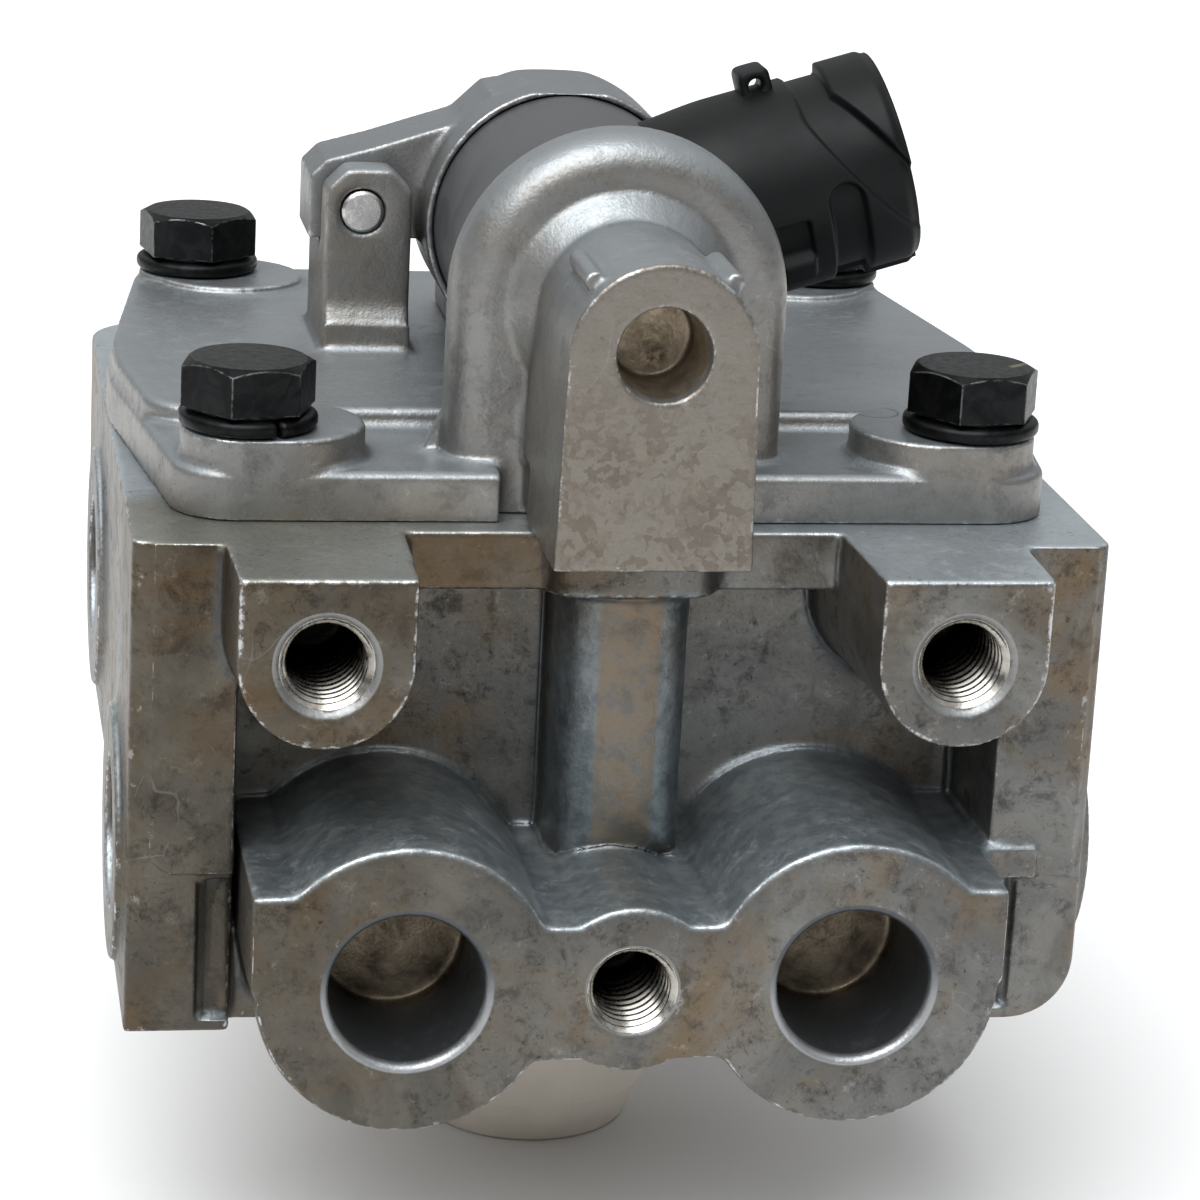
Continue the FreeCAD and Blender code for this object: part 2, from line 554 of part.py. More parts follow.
FRONT = "-body_front"
PANEL = "-body_front + panel_depth"
BAND = "-body_front + band_depth"


def body_block():
    """The casting's outer block, with rounded corners and the raised panel on its left column."""
    side = "body_half_width"
    face = f"{FRONT} + panel_raise"
    block = box("block", (f"-{side}", side), (face, "body_back"), ("body_bottom", "body_top"))
    bottom = soften("block_bottom", block, "bottom_edge_radius",
                    lambda edge: is_line(edge) and near(edge.BoundBox.ZMax, number("body_bottom"))
                    and near(edge.BoundBox.XMin, number(side)))
    back = soften("block_back", bottom, "back_corner_radius",
                  lambda edge: upright(edge) and near(edge.BoundBox.YMax, number("body_back")))
    front = soften("block_front", back, "front_corner_radius",
                   lambda edge: upright(edge) and near(edge.BoundBox.YMax, number(face)))
    panel = box("raised_panel", (f"-{side} + panel_side_margin", "-column_inner"),
                (FRONT, face), ("panel_bottom", "body_top"))
    round_panel = soften("raised_panel_round", panel, "panel_corner_radius",
                         lambda edge: is_line(edge) and near(edge.BoundBox.ZMax, number("panel_bottom"))
                         and near(edge.BoundBox.XMax, number(f"-{side} + panel_side_margin")))
    right = box("right_column_face", ("column_inner", f"{side} - front_corner_radius"),
                (FRONT, face), ("panel_bottom - foot_pocket_depth", "body_top"))
    return fuse("outer_block", [front, round_panel, right])


def front_openings():
    """The recess, the band below the cover and the shallow pockets low on the columns."""
    inner = ("-column_inner", "column_inner")
    low = ("body_bottom + foot_pocket_floor", "foot_pocket_top")
    pocket_back = f"{FRONT} + panel_raise + foot_pocket_depth"
    return [
        box("recess", inner, (FRONT, PANEL), ("body_bottom", "body_top - band_height")),
        box("band", inner, (FRONT, BAND), ("body_bottom", "body_top")),
        box("left_pocket", ("-column_inner - foot_pocket_width", "-column_inner"),
            (FRONT, pocket_back), low),
        box("right_pocket", ("column_inner", "column_inner + foot_pocket_width"),
            (FRONT, pocket_back), low),
    ]


def port_block():
    """The two port barrels with their shoulders, the web and the centre boss between them."""
    face = "-port_face"
    pieces = [
        box("web", ("-web_half_width", "web_half_width"), (face, PANEL), ("web_bottom", "web_top")),
        rod("fixing_boss", "y", ("0", "fixing_height"), "fixing_outer_radius", face, PANEL),
        box("block_floor", ("-column_inner", "column_inner"), (BAND, PANEL), ("body_bottom", "port_height")),
        box("column_lug", ("column_inner - root_overlap", "column_inner + column_lug_width"),
            (f"{FRONT} - panel_raise", PANEL),
            ("port_shoulder_top - column_lug_height", "port_shoulder_top")),
    ]
    for side, sign in (("left", "-1"), ("right", "1")):
        centre = f"{sign} * port_spacing"
        pieces.append(rod(side + "_barrel", "y", (centre, "port_height"), "port_outer_radius", face, PANEL))
        outer, inner = f"{sign} * port_shoulder_side", f"{sign} * (port_shoulder_side - port_shoulder_width)"
        ends = (outer, inner) if side == "left" else (inner, outer)
        pieces.append(box(side + "_shoulder", ends, (face, PANEL), ("port_height", "port_shoulder_top")))
        ends = (outer, centre) if side == "left" else (centre, outer)
        pieces.append(box(side + "_cheek", ends, (face, PANEL),
                          ("port_height", "port_shoulder_top - port_shoulder_width / 2")))
    return pieces


def rib():
    """The upright rib with its rounded lower end and the collar below the cover."""
    joint = "body_top - collar_height"
    bar = box("rib_bar", ("rib_offset - rib_half_width", "rib_offset + rib_half_width"),
              (f"{FRONT} + rib_front", f"{PANEL} + root_overlap"), ("rib_bottom", joint))
    face = number(f"{FRONT} + rib_front")
    round_bar = soften("rib_round", bar, "rib_radius",
                       lambda edge: near(edge.BoundBox.YMax, face) and near(edge.BoundBox.YMin, face)
                       and not near(edge.BoundBox.ZMin, number(joint)))
    collar = box("collar", ("rib_offset - collar_half_width", "rib_offset + collar_half_width"),
                 (f"{FRONT} + collar_front", f"{PANEL} + root_overlap"), (joint, "body_top"))
    round_collar = soften("collar_round", collar, "collar_radius",
                          lambda edge: upright(edge) and edge.BoundBox.YMax < number(BAND))
    return [round_bar, round_collar]


def mounting_bosses():
    """The two drafted bosses with a flat top and a round underside."""
    pieces = []
    for side, sign in (("left", "-1"), ("right", "1")):
        centre = f"{sign} * boss_spacing"
        pieces.append(rod(side + "_boss_round", "y", (centre, "boss_height"), "boss_radius",
                          "-boss_face", f"{PANEL} + root_overlap", "boss_radius + boss_draft"))
        wedge = doc.addObject("Part::Wedge", side + "_boss_top")
        bind(wedge, Ymin="-boss_face", Ymax=f"{PANEL} + root_overlap", Zmin="boss_height",
             Z2min="boss_height", Zmax="body_top", Z2max="body_top", Xmin=f"{centre} - boss_radius",
             Xmax=f"{centre} + boss_radius", X2min=f"{centre} - boss_radius - boss_draft",
             X2max=f"{centre} + boss_radius + boss_draft")
        pieces.append(wedge)
    return pieces


def side_bosses():
    """Round bosses of the threaded ports on both sides and on the back."""
    pieces = []
    for side, sign in (("left", -1), ("right", 1)):
        ends = sorted((f"{sign} * (body_half_width - side_boss_root)",
                       f"{sign} * (body_half_width + side_port_rise)"), key=number)
        for kind, y, z in (("front", "-side_port_front", "side_port_height"),
                           ("delivery", "delivery_port_back", "delivery_port_height")):
            pieces.append(rod(f"{side}_{kind}_boss", "x", (y, z), "side_port_outer_radius", *ends))
    pieces.append(rod("back_boss", "y", ("0", "back_port_height"), "side_port_outer_radius",
                      "body_back - back_recess_depth", "body_back + side_port_rise"))
    return pieces


def outer_recesses():
    """Low recesses in both sides and the two recesses in the back."""
    tools = []
    for side, sign in (("left", -1), ("right", 1)):
        ends = sorted((f"{sign} * (body_half_width - side_recess_depth)",
                       f"{sign} * (body_half_width + overshoot)"), key=number)
        tools.append(box(side + "_side_recess", ends, ("-side_recess_front", "body_back + overshoot"),
                         ("body_bottom - overshoot", "side_recess_top")))
        ends = sorted((f"{sign} * back_recess_inner", f"{sign} * back_recess_outer"), key=number)
        tools.append(box(side + "_back_recess", ends,
                         ("body_back - back_recess_depth", "body_back + overshoot"),
                         ("back_recess_bottom", "back_recess_top")))
    return tools


def threaded_hole(name, x, z, face, radius, depth, sink):
    """A tapped hole that looks to the front: its core and its countersink."""
    return [rod(name, "y", (x, z), radius, face, f"{face} + {depth}"),
            rod(name + "_sink", "y", (x, z), sink, face, f"{face} + {sink} - {radius}", radius)]


def body_bores():
    """All that is machined or cored into the lower body."""
    tools = [
        rod("guide_bore", "z", ("0", "0"), "guide_bore_radius", "body_bottom", "guide_bore_top"),
        rod("ring_groove", "z", ("0", "0"), "guide_bore_radius + ring_groove_depth", "ring_groove_bottom",
            "ring_groove_bottom + ring_groove_height"),
        cut("supply_chamber",
            rod("supply_space", "z", ("0", "0"), "supply_radius", "guide_bore_top", "supply_top"),
            [cut("seat_lip", rod("lip_outer", "z", ("0", "0"), "seat_hole_radius + seat_lip_width",
                                 SEAT, "supply_top"),
                 [rod("lip_inner", "z", ("0", "0"), "seat_hole_radius", SEAT, "supply_top")])]),
        rod("seat_hole", "z", ("0", "0"), "seat_hole_radius", SEAT, "body_top"),
        rod("delivery_chamber", "z", ("0", "0"), "supply_radius", WEB_TOP, "body_top"),
        rod("piston_bore", "z", ("0", "0"), "piston_bore_radius", PISTON_STEP, "body_top"),
        box("above_joint", ("-body_half_width", "body_half_width"), ("-boss_face", "body_back"),
            ("body_top", "body_top + 2 * boss_draft")),
        rod("back_port", "y", ("0", "back_port_height"), "port_bore_radius", "body_back - side_port_depth",
            "body_back + side_port_rise"),
        rod("back_duct", "y", ("0", "back_port_height"), "port_duct_radius",
            "supply_radius - duct_break", "body_back"),
    ]
    tools += threaded_hole("centre_thread", "0", "fixing_height", "-port_face", "fixing_hole_radius",
                           "fixing_hole_depth", "fixing_sink_radius")
    break_in = "supply_radius - duct_break"
    for side, sign in (("left", -1), ("right", 1)):
        port = f"{sign} * port_spacing"
        tools += threaded_hole(side + "_port", port, "port_height", "-port_face", "port_bore_radius",
                               "port_bore_depth", "(port_bore_radius + port_chamfer)")
        tools.append(rod(side + "_port_duct", "y", (f"{sign} * port_duct_spacing", "port_duct_height"),
                         "port_duct_radius", "-port_face + port_bore_depth / 2", "-port_duct_radius"))
        tools += threaded_hole(side + "_mount", f"{sign} * boss_spacing", "boss_height", "-boss_face",
                               "boss_hole_radius", "boss_hole_depth", "boss_sink_radius")
        rise = f"{sign} * (body_half_width + side_port_rise)"
        thread_end = f"{sign} * (body_half_width - side_port_depth)"
        for kind, y, duct, z, inner in (
                ("front", "-side_port_front", "-side_duct_back", "side_port_height", "port_duct_spacing"),
                ("delivery", "delivery_port_back", "delivery_port_back", "delivery_port_height", break_in)):
            ends = sorted((rise, thread_end), key=number)
            tools.append(rod(f"{side}_{kind}_port", "x", (y, z), "port_bore_radius", *ends))
            ends = sorted((thread_end, f"{sign} * ({inner})"), key=number)
            tools.append(rod(f"{side}_{kind}_duct", "x", (duct, z), "port_duct_radius", *ends))
    for index, (x_sign, y_sign) in enumerate(CORNERS, start=1):
        tools.append(rod(f"bolt_thread_{index}", "z", (f"{x_sign} * bolt_x", f"{y_sign} * bolt_y"),
                         "bolt_radius + thread_clearance", "body_top - bolt_hole_depth", "body_top"))
    return tools


def lower_body():
    """The whole lower casting."""
    opened = cut("opened_block", body_block(), front_openings() + outer_recesses())
    joined = fuse("body_casting", [opened] + port_block() + rib() + mounting_bosses() + side_bosses())
    return cut("lower_body_machined", joined, body_bores())


node(lower_body(), "lower_body")


# Top cover: a low flange, a raised top, bolt pads, the arch with its pedestal, and the post

COVER_Z = "body_top"


def cover_plate(name, inset, front, height):
    """A plate with the cover's outline, drawn in by an inset, from the joint up."""
    corner, bulge, bend = f"flange_corner - {inset}", f"flange_bulge - {inset}", "flange_bulge_half"
    back = f"flange_front - {inset}"
    slope = "(flange_bulge - flange_corner) / (flange_front - flange_bulge_half)"
    front_corner = f"{corner} + ({back} - ({front})) * {slope}"
    outline = [(f"-({front_corner})", f"-({front})"), (front_corner, f"-({front})"), (bulge, f"-{bend}"),
               (bulge, bend), (corner, back), (f"-({corner})", back), (f"-({bulge})", bend),
               (f"-({bulge})", f"-{bend}")]
    plate = place(padded(name, "XY_Plane", outline, height), z=COVER_Z)
    bends = soften(name + "_bends", plate, "flange_bulge_radius",
                   lambda edge: upright(edge) and near(abs(edge.BoundBox.XMin), number(bulge)))
    return soften(name + "_corners", bends, "flange_corner_radius",
                  lambda edge: upright(edge) and near(edge.BoundBox.YMax, number(back))
                  or upright(edge) and near(edge.BoundBox.YMax, -number(front)))


def round_top(name, plate, height):
    """Round a plate's upper edge."""
    level = number(f"{COVER_Z} + {height}")
    return soften(name, plate, "top_edge_radius",
                  lambda edge: near(edge.BoundBox.ZMin, level) and near(edge.BoundBox.ZMax, level))


def bolt_pads():
    """A pad under each bolt: a round outer end, a larger inner end and the stretch between."""
    pads = []
    for index, (x_sign, y_sign) in enumerate(CORNERS, start=1):
        bolt = f"{x_sign} * bolt_x"
        inner = f"{x_sign} * (bolt_x - bolt_pad_reach)"
        inner_y = f"{y_sign} * (flange_front - bolt_pad_radius)"
        outer_y = f"{y_sign} * (flange_front - bolt_pad_outer_radius)"
        levels = (COVER_Z, f"{COVER_Z} + bolt_pad_height")
        ends = sorted((bolt, inner), key=number)
        depth = sorted((f"{y_sign} * flange_front", outer_y), key=number)
        pads.append(fuse(f"bolt_pad_{index}", [
            rod(f"pad_outer_{index}", "z", (bolt, outer_y), "bolt_pad_outer_radius", *levels),
            rod(f"pad_inner_{index}", "z", (inner, inner_y), "bolt_pad_radius", *levels),
            box(f"pad_middle_{index}", ends, depth, levels),
        ]))
    return pads


def arch():
    """The arch that holds the solenoid's front end, with a rounded front edge."""
    ends = ("-arch_front", "-arch_back")
    whole = fuse("arch_plain", [
        rod("arch_round_top", "y", ("0", "solenoid_height"), "arch_radius", *ends),
        box("arch_legs", ("-arch_radius", "arch_radius"), ends, (COVER_Z, "solenoid_height")),
    ])
    front = number("-arch_front")
    return soften("arch_rounded", whole, "arch_round",
                  lambda edge: near(edge.BoundBox.YMin, front) and near(edge.BoundBox.YMax, front)
                  and not near(edge.BoundBox.ZMax, number(COVER_Z)))


def gusset():
    """A small slanted web at the arch's left foot."""
    level = f"{COVER_Z} + flange_height"
    inner, top = "-arch_radius + root_overlap", f"{level} + 2 * gusset_reach"
    outline = [("-arch_radius - gusset_reach", level), (inner, level), (inner, top), ("-arch_radius", top)]
    return place(padded("arch_gusset", "XZ_Plane", outline, "gusset_reach"), y="-arch_back")


def pedestal():
    """The long pedestal on the arch's front, with its flare and the two nibs of flash."""
    bottom = f"{COVER_Z} + pedestal_bottom"
    outline = [("-pedestal_foot", bottom), ("pedestal_foot", bottom), ("pedestal_radius", "solenoid_height"),
               ("-pedestal_radius", "solenoid_height")]
    block = place(padded("pedestal_block", "XZ_Plane", outline, "pedestal_face - arch_back"), y="-arch_back")
    flare_start = "-arch_front - pedestal_flare"
    pieces = [
        block,
        rod("pedestal_top", "y", ("0", "solenoid_height"), "pedestal_radius", "-pedestal_face",
            "-arch_back"),
        rod("pedestal_root", "y", ("0", "solenoid_height"), "pedestal_radius", flare_start, "-arch_front",
            "pedestal_radius + pedestal_flare"),
    ]
    reach = "(pedestal_radius + nib_radius / 2)"
    for side, sign in (("left", -1), ("right", 1)):
        x = f"{sign} * {reach} * sin(nib_angle * 1 deg)"
        z = f"solenoid_height + {reach} * cos(nib_angle * 1 deg)"
        pieces.append(rod(side + "_nib", "y", (x, z), "nib_radius", "-pedestal_face + nib_setback",
                          "-pedestal_face + nib_setback + nib_length"))
    return pieces


def post():
    """The post beside the solenoid: a side profile and a front profile in common."""
    foot = f"{COVER_Z} + flange_height"
    back = "post_front + post_thickness"
    side_profile = [("post_front - post_step", foot), ("post_front - post_step", "post_step_bottom"),
                    ("post_front", "post_step_top"), ("post_front", "post_top"), (back, "post_top"),
                    (back, "saddle_top"), ("saddle_back", "saddle_top"), ("saddle_back", foot)]
    front_profile = [("-post_left", foot), ("-post_right", foot), ("-post_right", "post_top - post_chamfer"),
                     ("-post_right - post_chamfer", "post_top"), ("-post_left + post_chamfer", "post_top"),
                     ("-post_left", "post_top - post_chamfer")]
    common = doc.addObject("Part::MultiCommon", "post_body")
    common.Shapes = [
        padded("post_side", "YZ_Plane", side_profile, "2 * body_half_width", both_ways=True),
        padded("post_face", "XZ_Plane", front_profile, "2 * body_back", both_ways=True),
    ]
    return common


def cover_bores():
    """The trough for the solenoid, the chambers, ducts and holes of the cover."""
    shell = "shell_radius + cradle_clearance"
    duct_z = f"{COVER_Z} + pilot_duct_height"
    duct_y = "-pilot_bore_front + pilot_duct_radius"
    seal_inner, seal_outer = "cover_seal_radius - cover_seal_wire", "cover_seal_radius + cover_seal_wire"
    seal_top = f"{COVER_Z} + 2 * cover_seal_wire"
    tools = [
        rod("trough", "y", ("0", "solenoid_height"), shell, "-arch_back", "shell_back"),
        rod("cap_trough", "y", ("0", "solenoid_height"), "cap_radius + cradle_clearance",
            "shell_back - cap_lip - cradle_clearance",
            "shell_back - cap_lip + cap_length + cradle_clearance"),
        rod("control_chamber", "z", ("0", "0"), "chamber_radius", COVER_Z, f"{COVER_Z} + chamber_height"),
        rod("pilot_bore", "y", ("0", "solenoid_height"), "pilot_bore_radius", "-pilot_bore_front",
            "-arch_back"),
        rod("upright_duct", "z", ("0", duct_y), "pilot_duct_radius", duct_z, "solenoid_height"),
        rod("level_duct", "y", ("0", duct_z), "pilot_duct_radius", duct_y, "-chamber_radius + duct_break"),
        turned("cover_seal_groove", [
            (seal_inner, COVER_Z), (seal_outer, COVER_Z), (seal_outer, seal_top), (seal_inner, seal_top)]),
        rod("pedestal_hole", "y", ("0", "pedestal_hole_height"), "pedestal_hole_radius", "-pedestal_face",
            "-pedestal_face + pedestal_hole_depth", "pedestal_hole_end_radius"),
        box("pedestal_notch", ("-pedestal_foot - pad_notch_width", "-pedestal_foot + overshoot"),
            ("-flange_front - overshoot", "-flange_front + pad_notch_depth"),
            (COVER_Z, f"{COVER_Z} + flange_height + overshoot")),
        rod("pin_hole", "y", ("-pin_x", "pin_height"), "pin_radius + pin_clearance",
            "post_front - overshoot", "saddle_back"),
    ]
    for index, (x_sign, y_sign) in enumerate(CORNERS, start=1):
        tools.append(rod(f"bolt_hole_{index}", "z", (f"{x_sign} * bolt_x", f"{y_sign} * bolt_y"),
                         "bolt_hole_radius", COVER_Z, f"{COVER_Z} + bolt_pad_height + overshoot"))
    for place_name, x, y in (("side", "screw_side_x", "screw_side_y"), ("back", "0", "screw_back_y")):
        tools.append(rod(f"cap_{place_name}_thread", "z", (x, y), "screw_radius + thread_clearance",
                         f"{COVER_Z} + plateau_height + foot_height - screw_length - foot_gap",
                         f"{COVER_Z} + plateau_height + overshoot"))
    return tools


def top_cover():
    """The whole cover casting."""
    flange = round_top("flange", cover_plate("flange_plate", "0", "flange_front", "flange_height"),
                       "flange_height")
    plateau = round_top("plateau", cover_plate("plateau_plate", "plateau_inset", "plateau_front",
                                               "plateau_height"), "plateau_height")
    joined = fuse("cover_casting", [flange, plateau, arch(), gusset(), post()] + bolt_pads() + pedestal())
    return cut("top_cover_machined", joined, cover_bores())


node(top_cover(), "top_cover")

# Rear cap: the casting that closes the solenoid behind, with an arm to the post and a screwed foot

CAP_FRONT = "(shell_back - cap_lip)"
CAP_BACK = "(shell_back - cap_lip + cap_length)"
FOOT_FLOOR = "(body_top + plateau_height + foot_gap)"
ARM_FRONT = "(post_front + post_thickness + arm_gap)"


def rear_cap():
    """The cap's round body, its arm behind the post and its foot on the cover."""
    drum = rod("cap_drum", "y", ("0", "solenoid_height"), "cap_radius", CAP_FRONT, CAP_BACK)
    back = number(CAP_BACK)
    round_drum = soften("cap_drum_round", drum, "cap_round",
                        lambda edge: near(edge.BoundBox.YMin, back) and near(edge.BoundBox.YMax, back))
    outline = [("-arm_left", "arm_bottom"), ("0", "arm_bottom"), ("0", "cap_flat"),
               ("-cap_radius / 2", "cap_shoulder_height"),
               ("-arm_root_x", "arm_root_height"), ("-arm_mid_x", "arm_mid_height"),
               ("-arm_left + arm_chamfer", "arm_end_height + arm_chamfer"), ("-arm_left", "arm_end_height")]
    arm = place(padded("cap_arm", "XZ_Plane", outline, "arm_thickness"), y=f"{ARM_FRONT} + arm_thickness")
    foot_top = f"{FOOT_FLOOR} + foot_height"
    foot_back = soften("foot_back_round", box("foot_back_plate", ("-foot_half_width", "foot_half_width"),
                                              (ARM_FRONT, "foot_back"), (FOOT_FLOOR, foot_top)),
                       "screw_flange_radius",
                       lambda edge: upright(edge) and near(edge.BoundBox.YMax, number("foot_back")))
    foot_side = soften("foot_side_round", box("foot_side_plate", ("0", "foot_right"),
                                              (ARM_FRONT, f"{ARM_FRONT} + arm_thickness"),
                                              (FOOT_FLOOR, foot_top)), "screw_flange_radius",
                       lambda edge: upright(edge) and near(edge.BoundBox.XMax, number("foot_right")))
    web = box("foot_web", ("-foot_half_width", "foot_half_width"), (ARM_FRONT, f"{CAP_BACK} - cap_round"),
              (FOOT_FLOOR, "solenoid_height"))
    joined = fuse("cap_casting", [round_drum, arm, foot_back, foot_side, web])
    return cut("rear_cap_machined", joined, [
        rod("cap_seat", "y", ("0", "solenoid_height"), "shell_radius + cap_pocket_clearance", CAP_FRONT,
            "shell_back + foot_gap"),
        rod("cap_tail_pocket", "y", ("0", "solenoid_height"), "core_tail_radius + cap_pocket_clearance",
            "shell_back", "shell_back + core_tail + core_tail_gap"),
        rod("cap_pin_hole", "y", ("-pin_x", "pin_height"), "pin_radius", ARM_FRONT,
            f"{ARM_FRONT} + arm_thickness"),
        rod("cap_side_hole", "z", ("screw_side_x", "screw_side_y"), "screw_radius + pin_clearance",
            FOOT_FLOOR, foot_top),
        rod("cap_back_hole", "z", ("0", "screw_back_y"), "screw_radius + pin_clearance",
            FOOT_FLOOR, foot_top),
        box("cap_flat_cut", ("-cap_radius", "cap_radius"), (CAP_FRONT, CAP_BACK),
            ("cap_flat", "solenoid_height + cap_radius + overshoot")),
    ])


node(rear_cap(), "rear_cap")


# Locating pin through the post and the rear cap's arm

PIN_END = "pin_length - pin_chamfer"
pin = turned("pin_turned", [("0", "0"), ("pin_radius - pin_chamfer", "0"), ("pin_radius", "pin_chamfer"),
                            ("pin_radius", PIN_END), ("pin_radius - pin_chamfer", "pin_length"),
                            ("0", "pin_length")])
node(lay_along_y(pin, "-pin_x", "post_front - pin_proud", "pin_height"), "locating_pin")


# Solenoid: shell, bobbin, winding, pole core, armature with its spring, nozzle and seal

SHELL_FRONT = "(-arch_back + shell_gap)"
SHELL_LENGTH = "(shell_back + arch_back - shell_gap)"
BOBBIN_FRONT = "(-arch_back + 2 * shell_gap + shell_front_wall)"
CORE_FLANGE_FRONT = "(shell_back - core_flange_thickness)"
BOBBIN_LENGTH = f"({CORE_FLANGE_FRONT} - shell_gap - {BOBBIN_FRONT})"
TUBE_RADIUS = "(armature_radius + armature_clearance + bobbin_wall)"
CORE_FRONT = "(-armature_back + armature_travel + stop_gap)"


def along_solenoid(body, start):
    """Lay a turned body on the solenoid's axis, with its zero at a place along Y."""
    return lay_along_y(body, "0", start, "solenoid_height")


def solenoid_shell():
    """The round shell, open behind, with a groove for its seal in front."""
    inner, outer = "front_seal_radius - front_seal_wire", "front_seal_radius + front_seal_wire"
    depth = "2 * front_seal_wire"
    hole = "needle_radius + needle_clearance"
    return turned("shell_turned", [
        (hole, "0"), (inner, "0"), (inner, depth), (outer, depth), (outer, "0"), ("shell_radius", "0"),
        ("shell_radius", SHELL_LENGTH), ("shell_bore_radius", SHELL_LENGTH),
        ("shell_bore_radius", "shell_front_wall"), (hole, "shell_front_wall")])


def bobbin():
    """The winding's bobbin: a tube between two flanges."""
    bore = "armature_radius + armature_clearance"
    far = f"{BOBBIN_LENGTH} - bobbin_flange"
    flange = "shell_bore_radius - cap_pocket_clearance"
    return turned("bobbin_turned", [
        (bore, "0"), (flange, "0"), (flange, "bobbin_flange"), (TUBE_RADIUS, "bobbin_flange"),
        (TUBE_RADIUS, far), (flange, far), (flange, BOBBIN_LENGTH), (bore, BOBBIN_LENGTH)])


def pole_core():
    """The fixed iron core with its flange, its tail and the pocket for the spring."""
    front = CORE_FRONT
    tail = f"shell_back + core_tail - {front}"
    flange_start, flange_end = f"{CORE_FLANGE_FRONT} - {front}", f"shell_back - {front}"
    flange = "shell_bore_radius - cap_pocket_clearance"
    pocket = "armature_spring_radius + 2 * armature_spring_wire"
    return turned("core_turned", [
        ("0", "armature_spring_pocket"), (pocket, "armature_spring_pocket"), (pocket, "0"),
        ("armature_radius", "0"), ("armature_radius", flange_start), (flange, flange_start),
        (flange, flange_end), ("core_tail_radius", flange_end), ("core_tail_radius", tail), ("0", tail)])


def armature():
    """The moving iron core with the needle in front and the spring's pocket behind."""
    length = "(nozzle_back - needle_gap - armature_back)"
    needle = f"{length} - armature_length"
    pocket = "armature_spring_radius + 2 * armature_spring_wire"
    return turned("armature_turned", [
        ("0", "0"), ("needle_radius", "0"), ("needle_radius", needle), ("armature_radius", needle),
        ("armature_radius", length), (pocket, length), (pocket, f"{length} - armature_spring_pocket"),
        ("0", f"{length} - armature_spring_pocket")])


SPRING_ROOM = "(2 * armature_spring_pocket + armature_travel + stop_gap)"
node(along_solenoid(solenoid_shell(), SHELL_FRONT), "solenoid_shell")
node(along_solenoid(bobbin(), BOBBIN_FRONT), "coil_bobbin")
node(along_solenoid(turned("winding_turned", [
    (f"{TUBE_RADIUS} + shell_gap", "0"), ("winding_radius", "0"),
    ("winding_radius", f"{BOBBIN_LENGTH} - 2 * bobbin_flange - 2 * shell_gap"),
    (f"{TUBE_RADIUS} + shell_gap", f"{BOBBIN_LENGTH} - 2 * bobbin_flange - 2 * shell_gap"),
]), f"{BOBBIN_FRONT} + bobbin_flange + shell_gap"), "coil_winding")
node(along_solenoid(pole_core(), CORE_FRONT), "pole_core")
node(along_solenoid(armature(), "-nozzle_back + needle_gap"), "armature")
armature_coil = coil("armature_coil", "armature_spring_radius", "armature_spring_wire",
                     "armature_spring_pitch", f"{SPRING_ROOM} - 2 * shell_gap")
spring_start = "-armature_back - armature_spring_pocket + shell_gap + armature_spring_wire"
node(along_solenoid(armature_coil, spring_start), "armature_spring")
NOZZLE_LENGTH = "nozzle_front - nozzle_back"
node(along_solenoid(turned("nozzle_turned", [
    ("nozzle_hole_radius", "0"), ("pilot_bore_radius", "0"), ("pilot_bore_radius", NOZZLE_LENGTH),
    ("nozzle_hole_radius", NOZZLE_LENGTH)]), "-nozzle_front"), "pilot_nozzle")
front_seal = doc.addObject("Part::Torus", "front_seal_ring")
bind(front_seal, Radius1="front_seal_radius", Radius2="front_seal_wire")
node(along_solenoid(front_seal, f"{SHELL_FRONT} + front_seal_wire"), "solenoid_seal")


# Connector: a round plug socket that leans out of the solenoid to the right

def tilted(thing, across="0", toward="0"):
    """Turn +Z to the connector's axis and set the zero on the solenoid's axis."""
    lean = FreeCAD.Rotation(AXES["y"], number("90 - socket_tilt"))
    base = FreeCAD.Vector(0, number("socket_back"), number("solenoid_height"))
    offset = FreeCAD.Vector(number(across), number(toward), 0)
    thing.Placement = FreeCAD.Placement(base, lean).multiply(FreeCAD.Placement(offset, FreeCAD.Rotation()))
    return thing


def connector_barrel():
    """The barrel with its thick root, its locking collar and its hollow end."""
    slope = "(socket_root_radius - socket_radius)"
    rise = "(socket_collar_radius - socket_radius)"
    floor = "socket_end - socket_bore_depth"
    return turned("barrel_turned", [
        ("0", "0"), ("socket_root_radius", "0"), ("socket_root_radius", "socket_root_end"),
        ("socket_radius", f"socket_root_end + {slope}"), ("socket_radius", "socket_collar_start"),
        ("socket_collar_radius", f"socket_collar_start + {rise}"),
        ("socket_collar_radius", f"socket_end - {rise}"), ("socket_radius", "socket_end"),
        ("socket_bore_radius", "socket_end"), ("socket_bore_radius", floor), ("0", floor)])


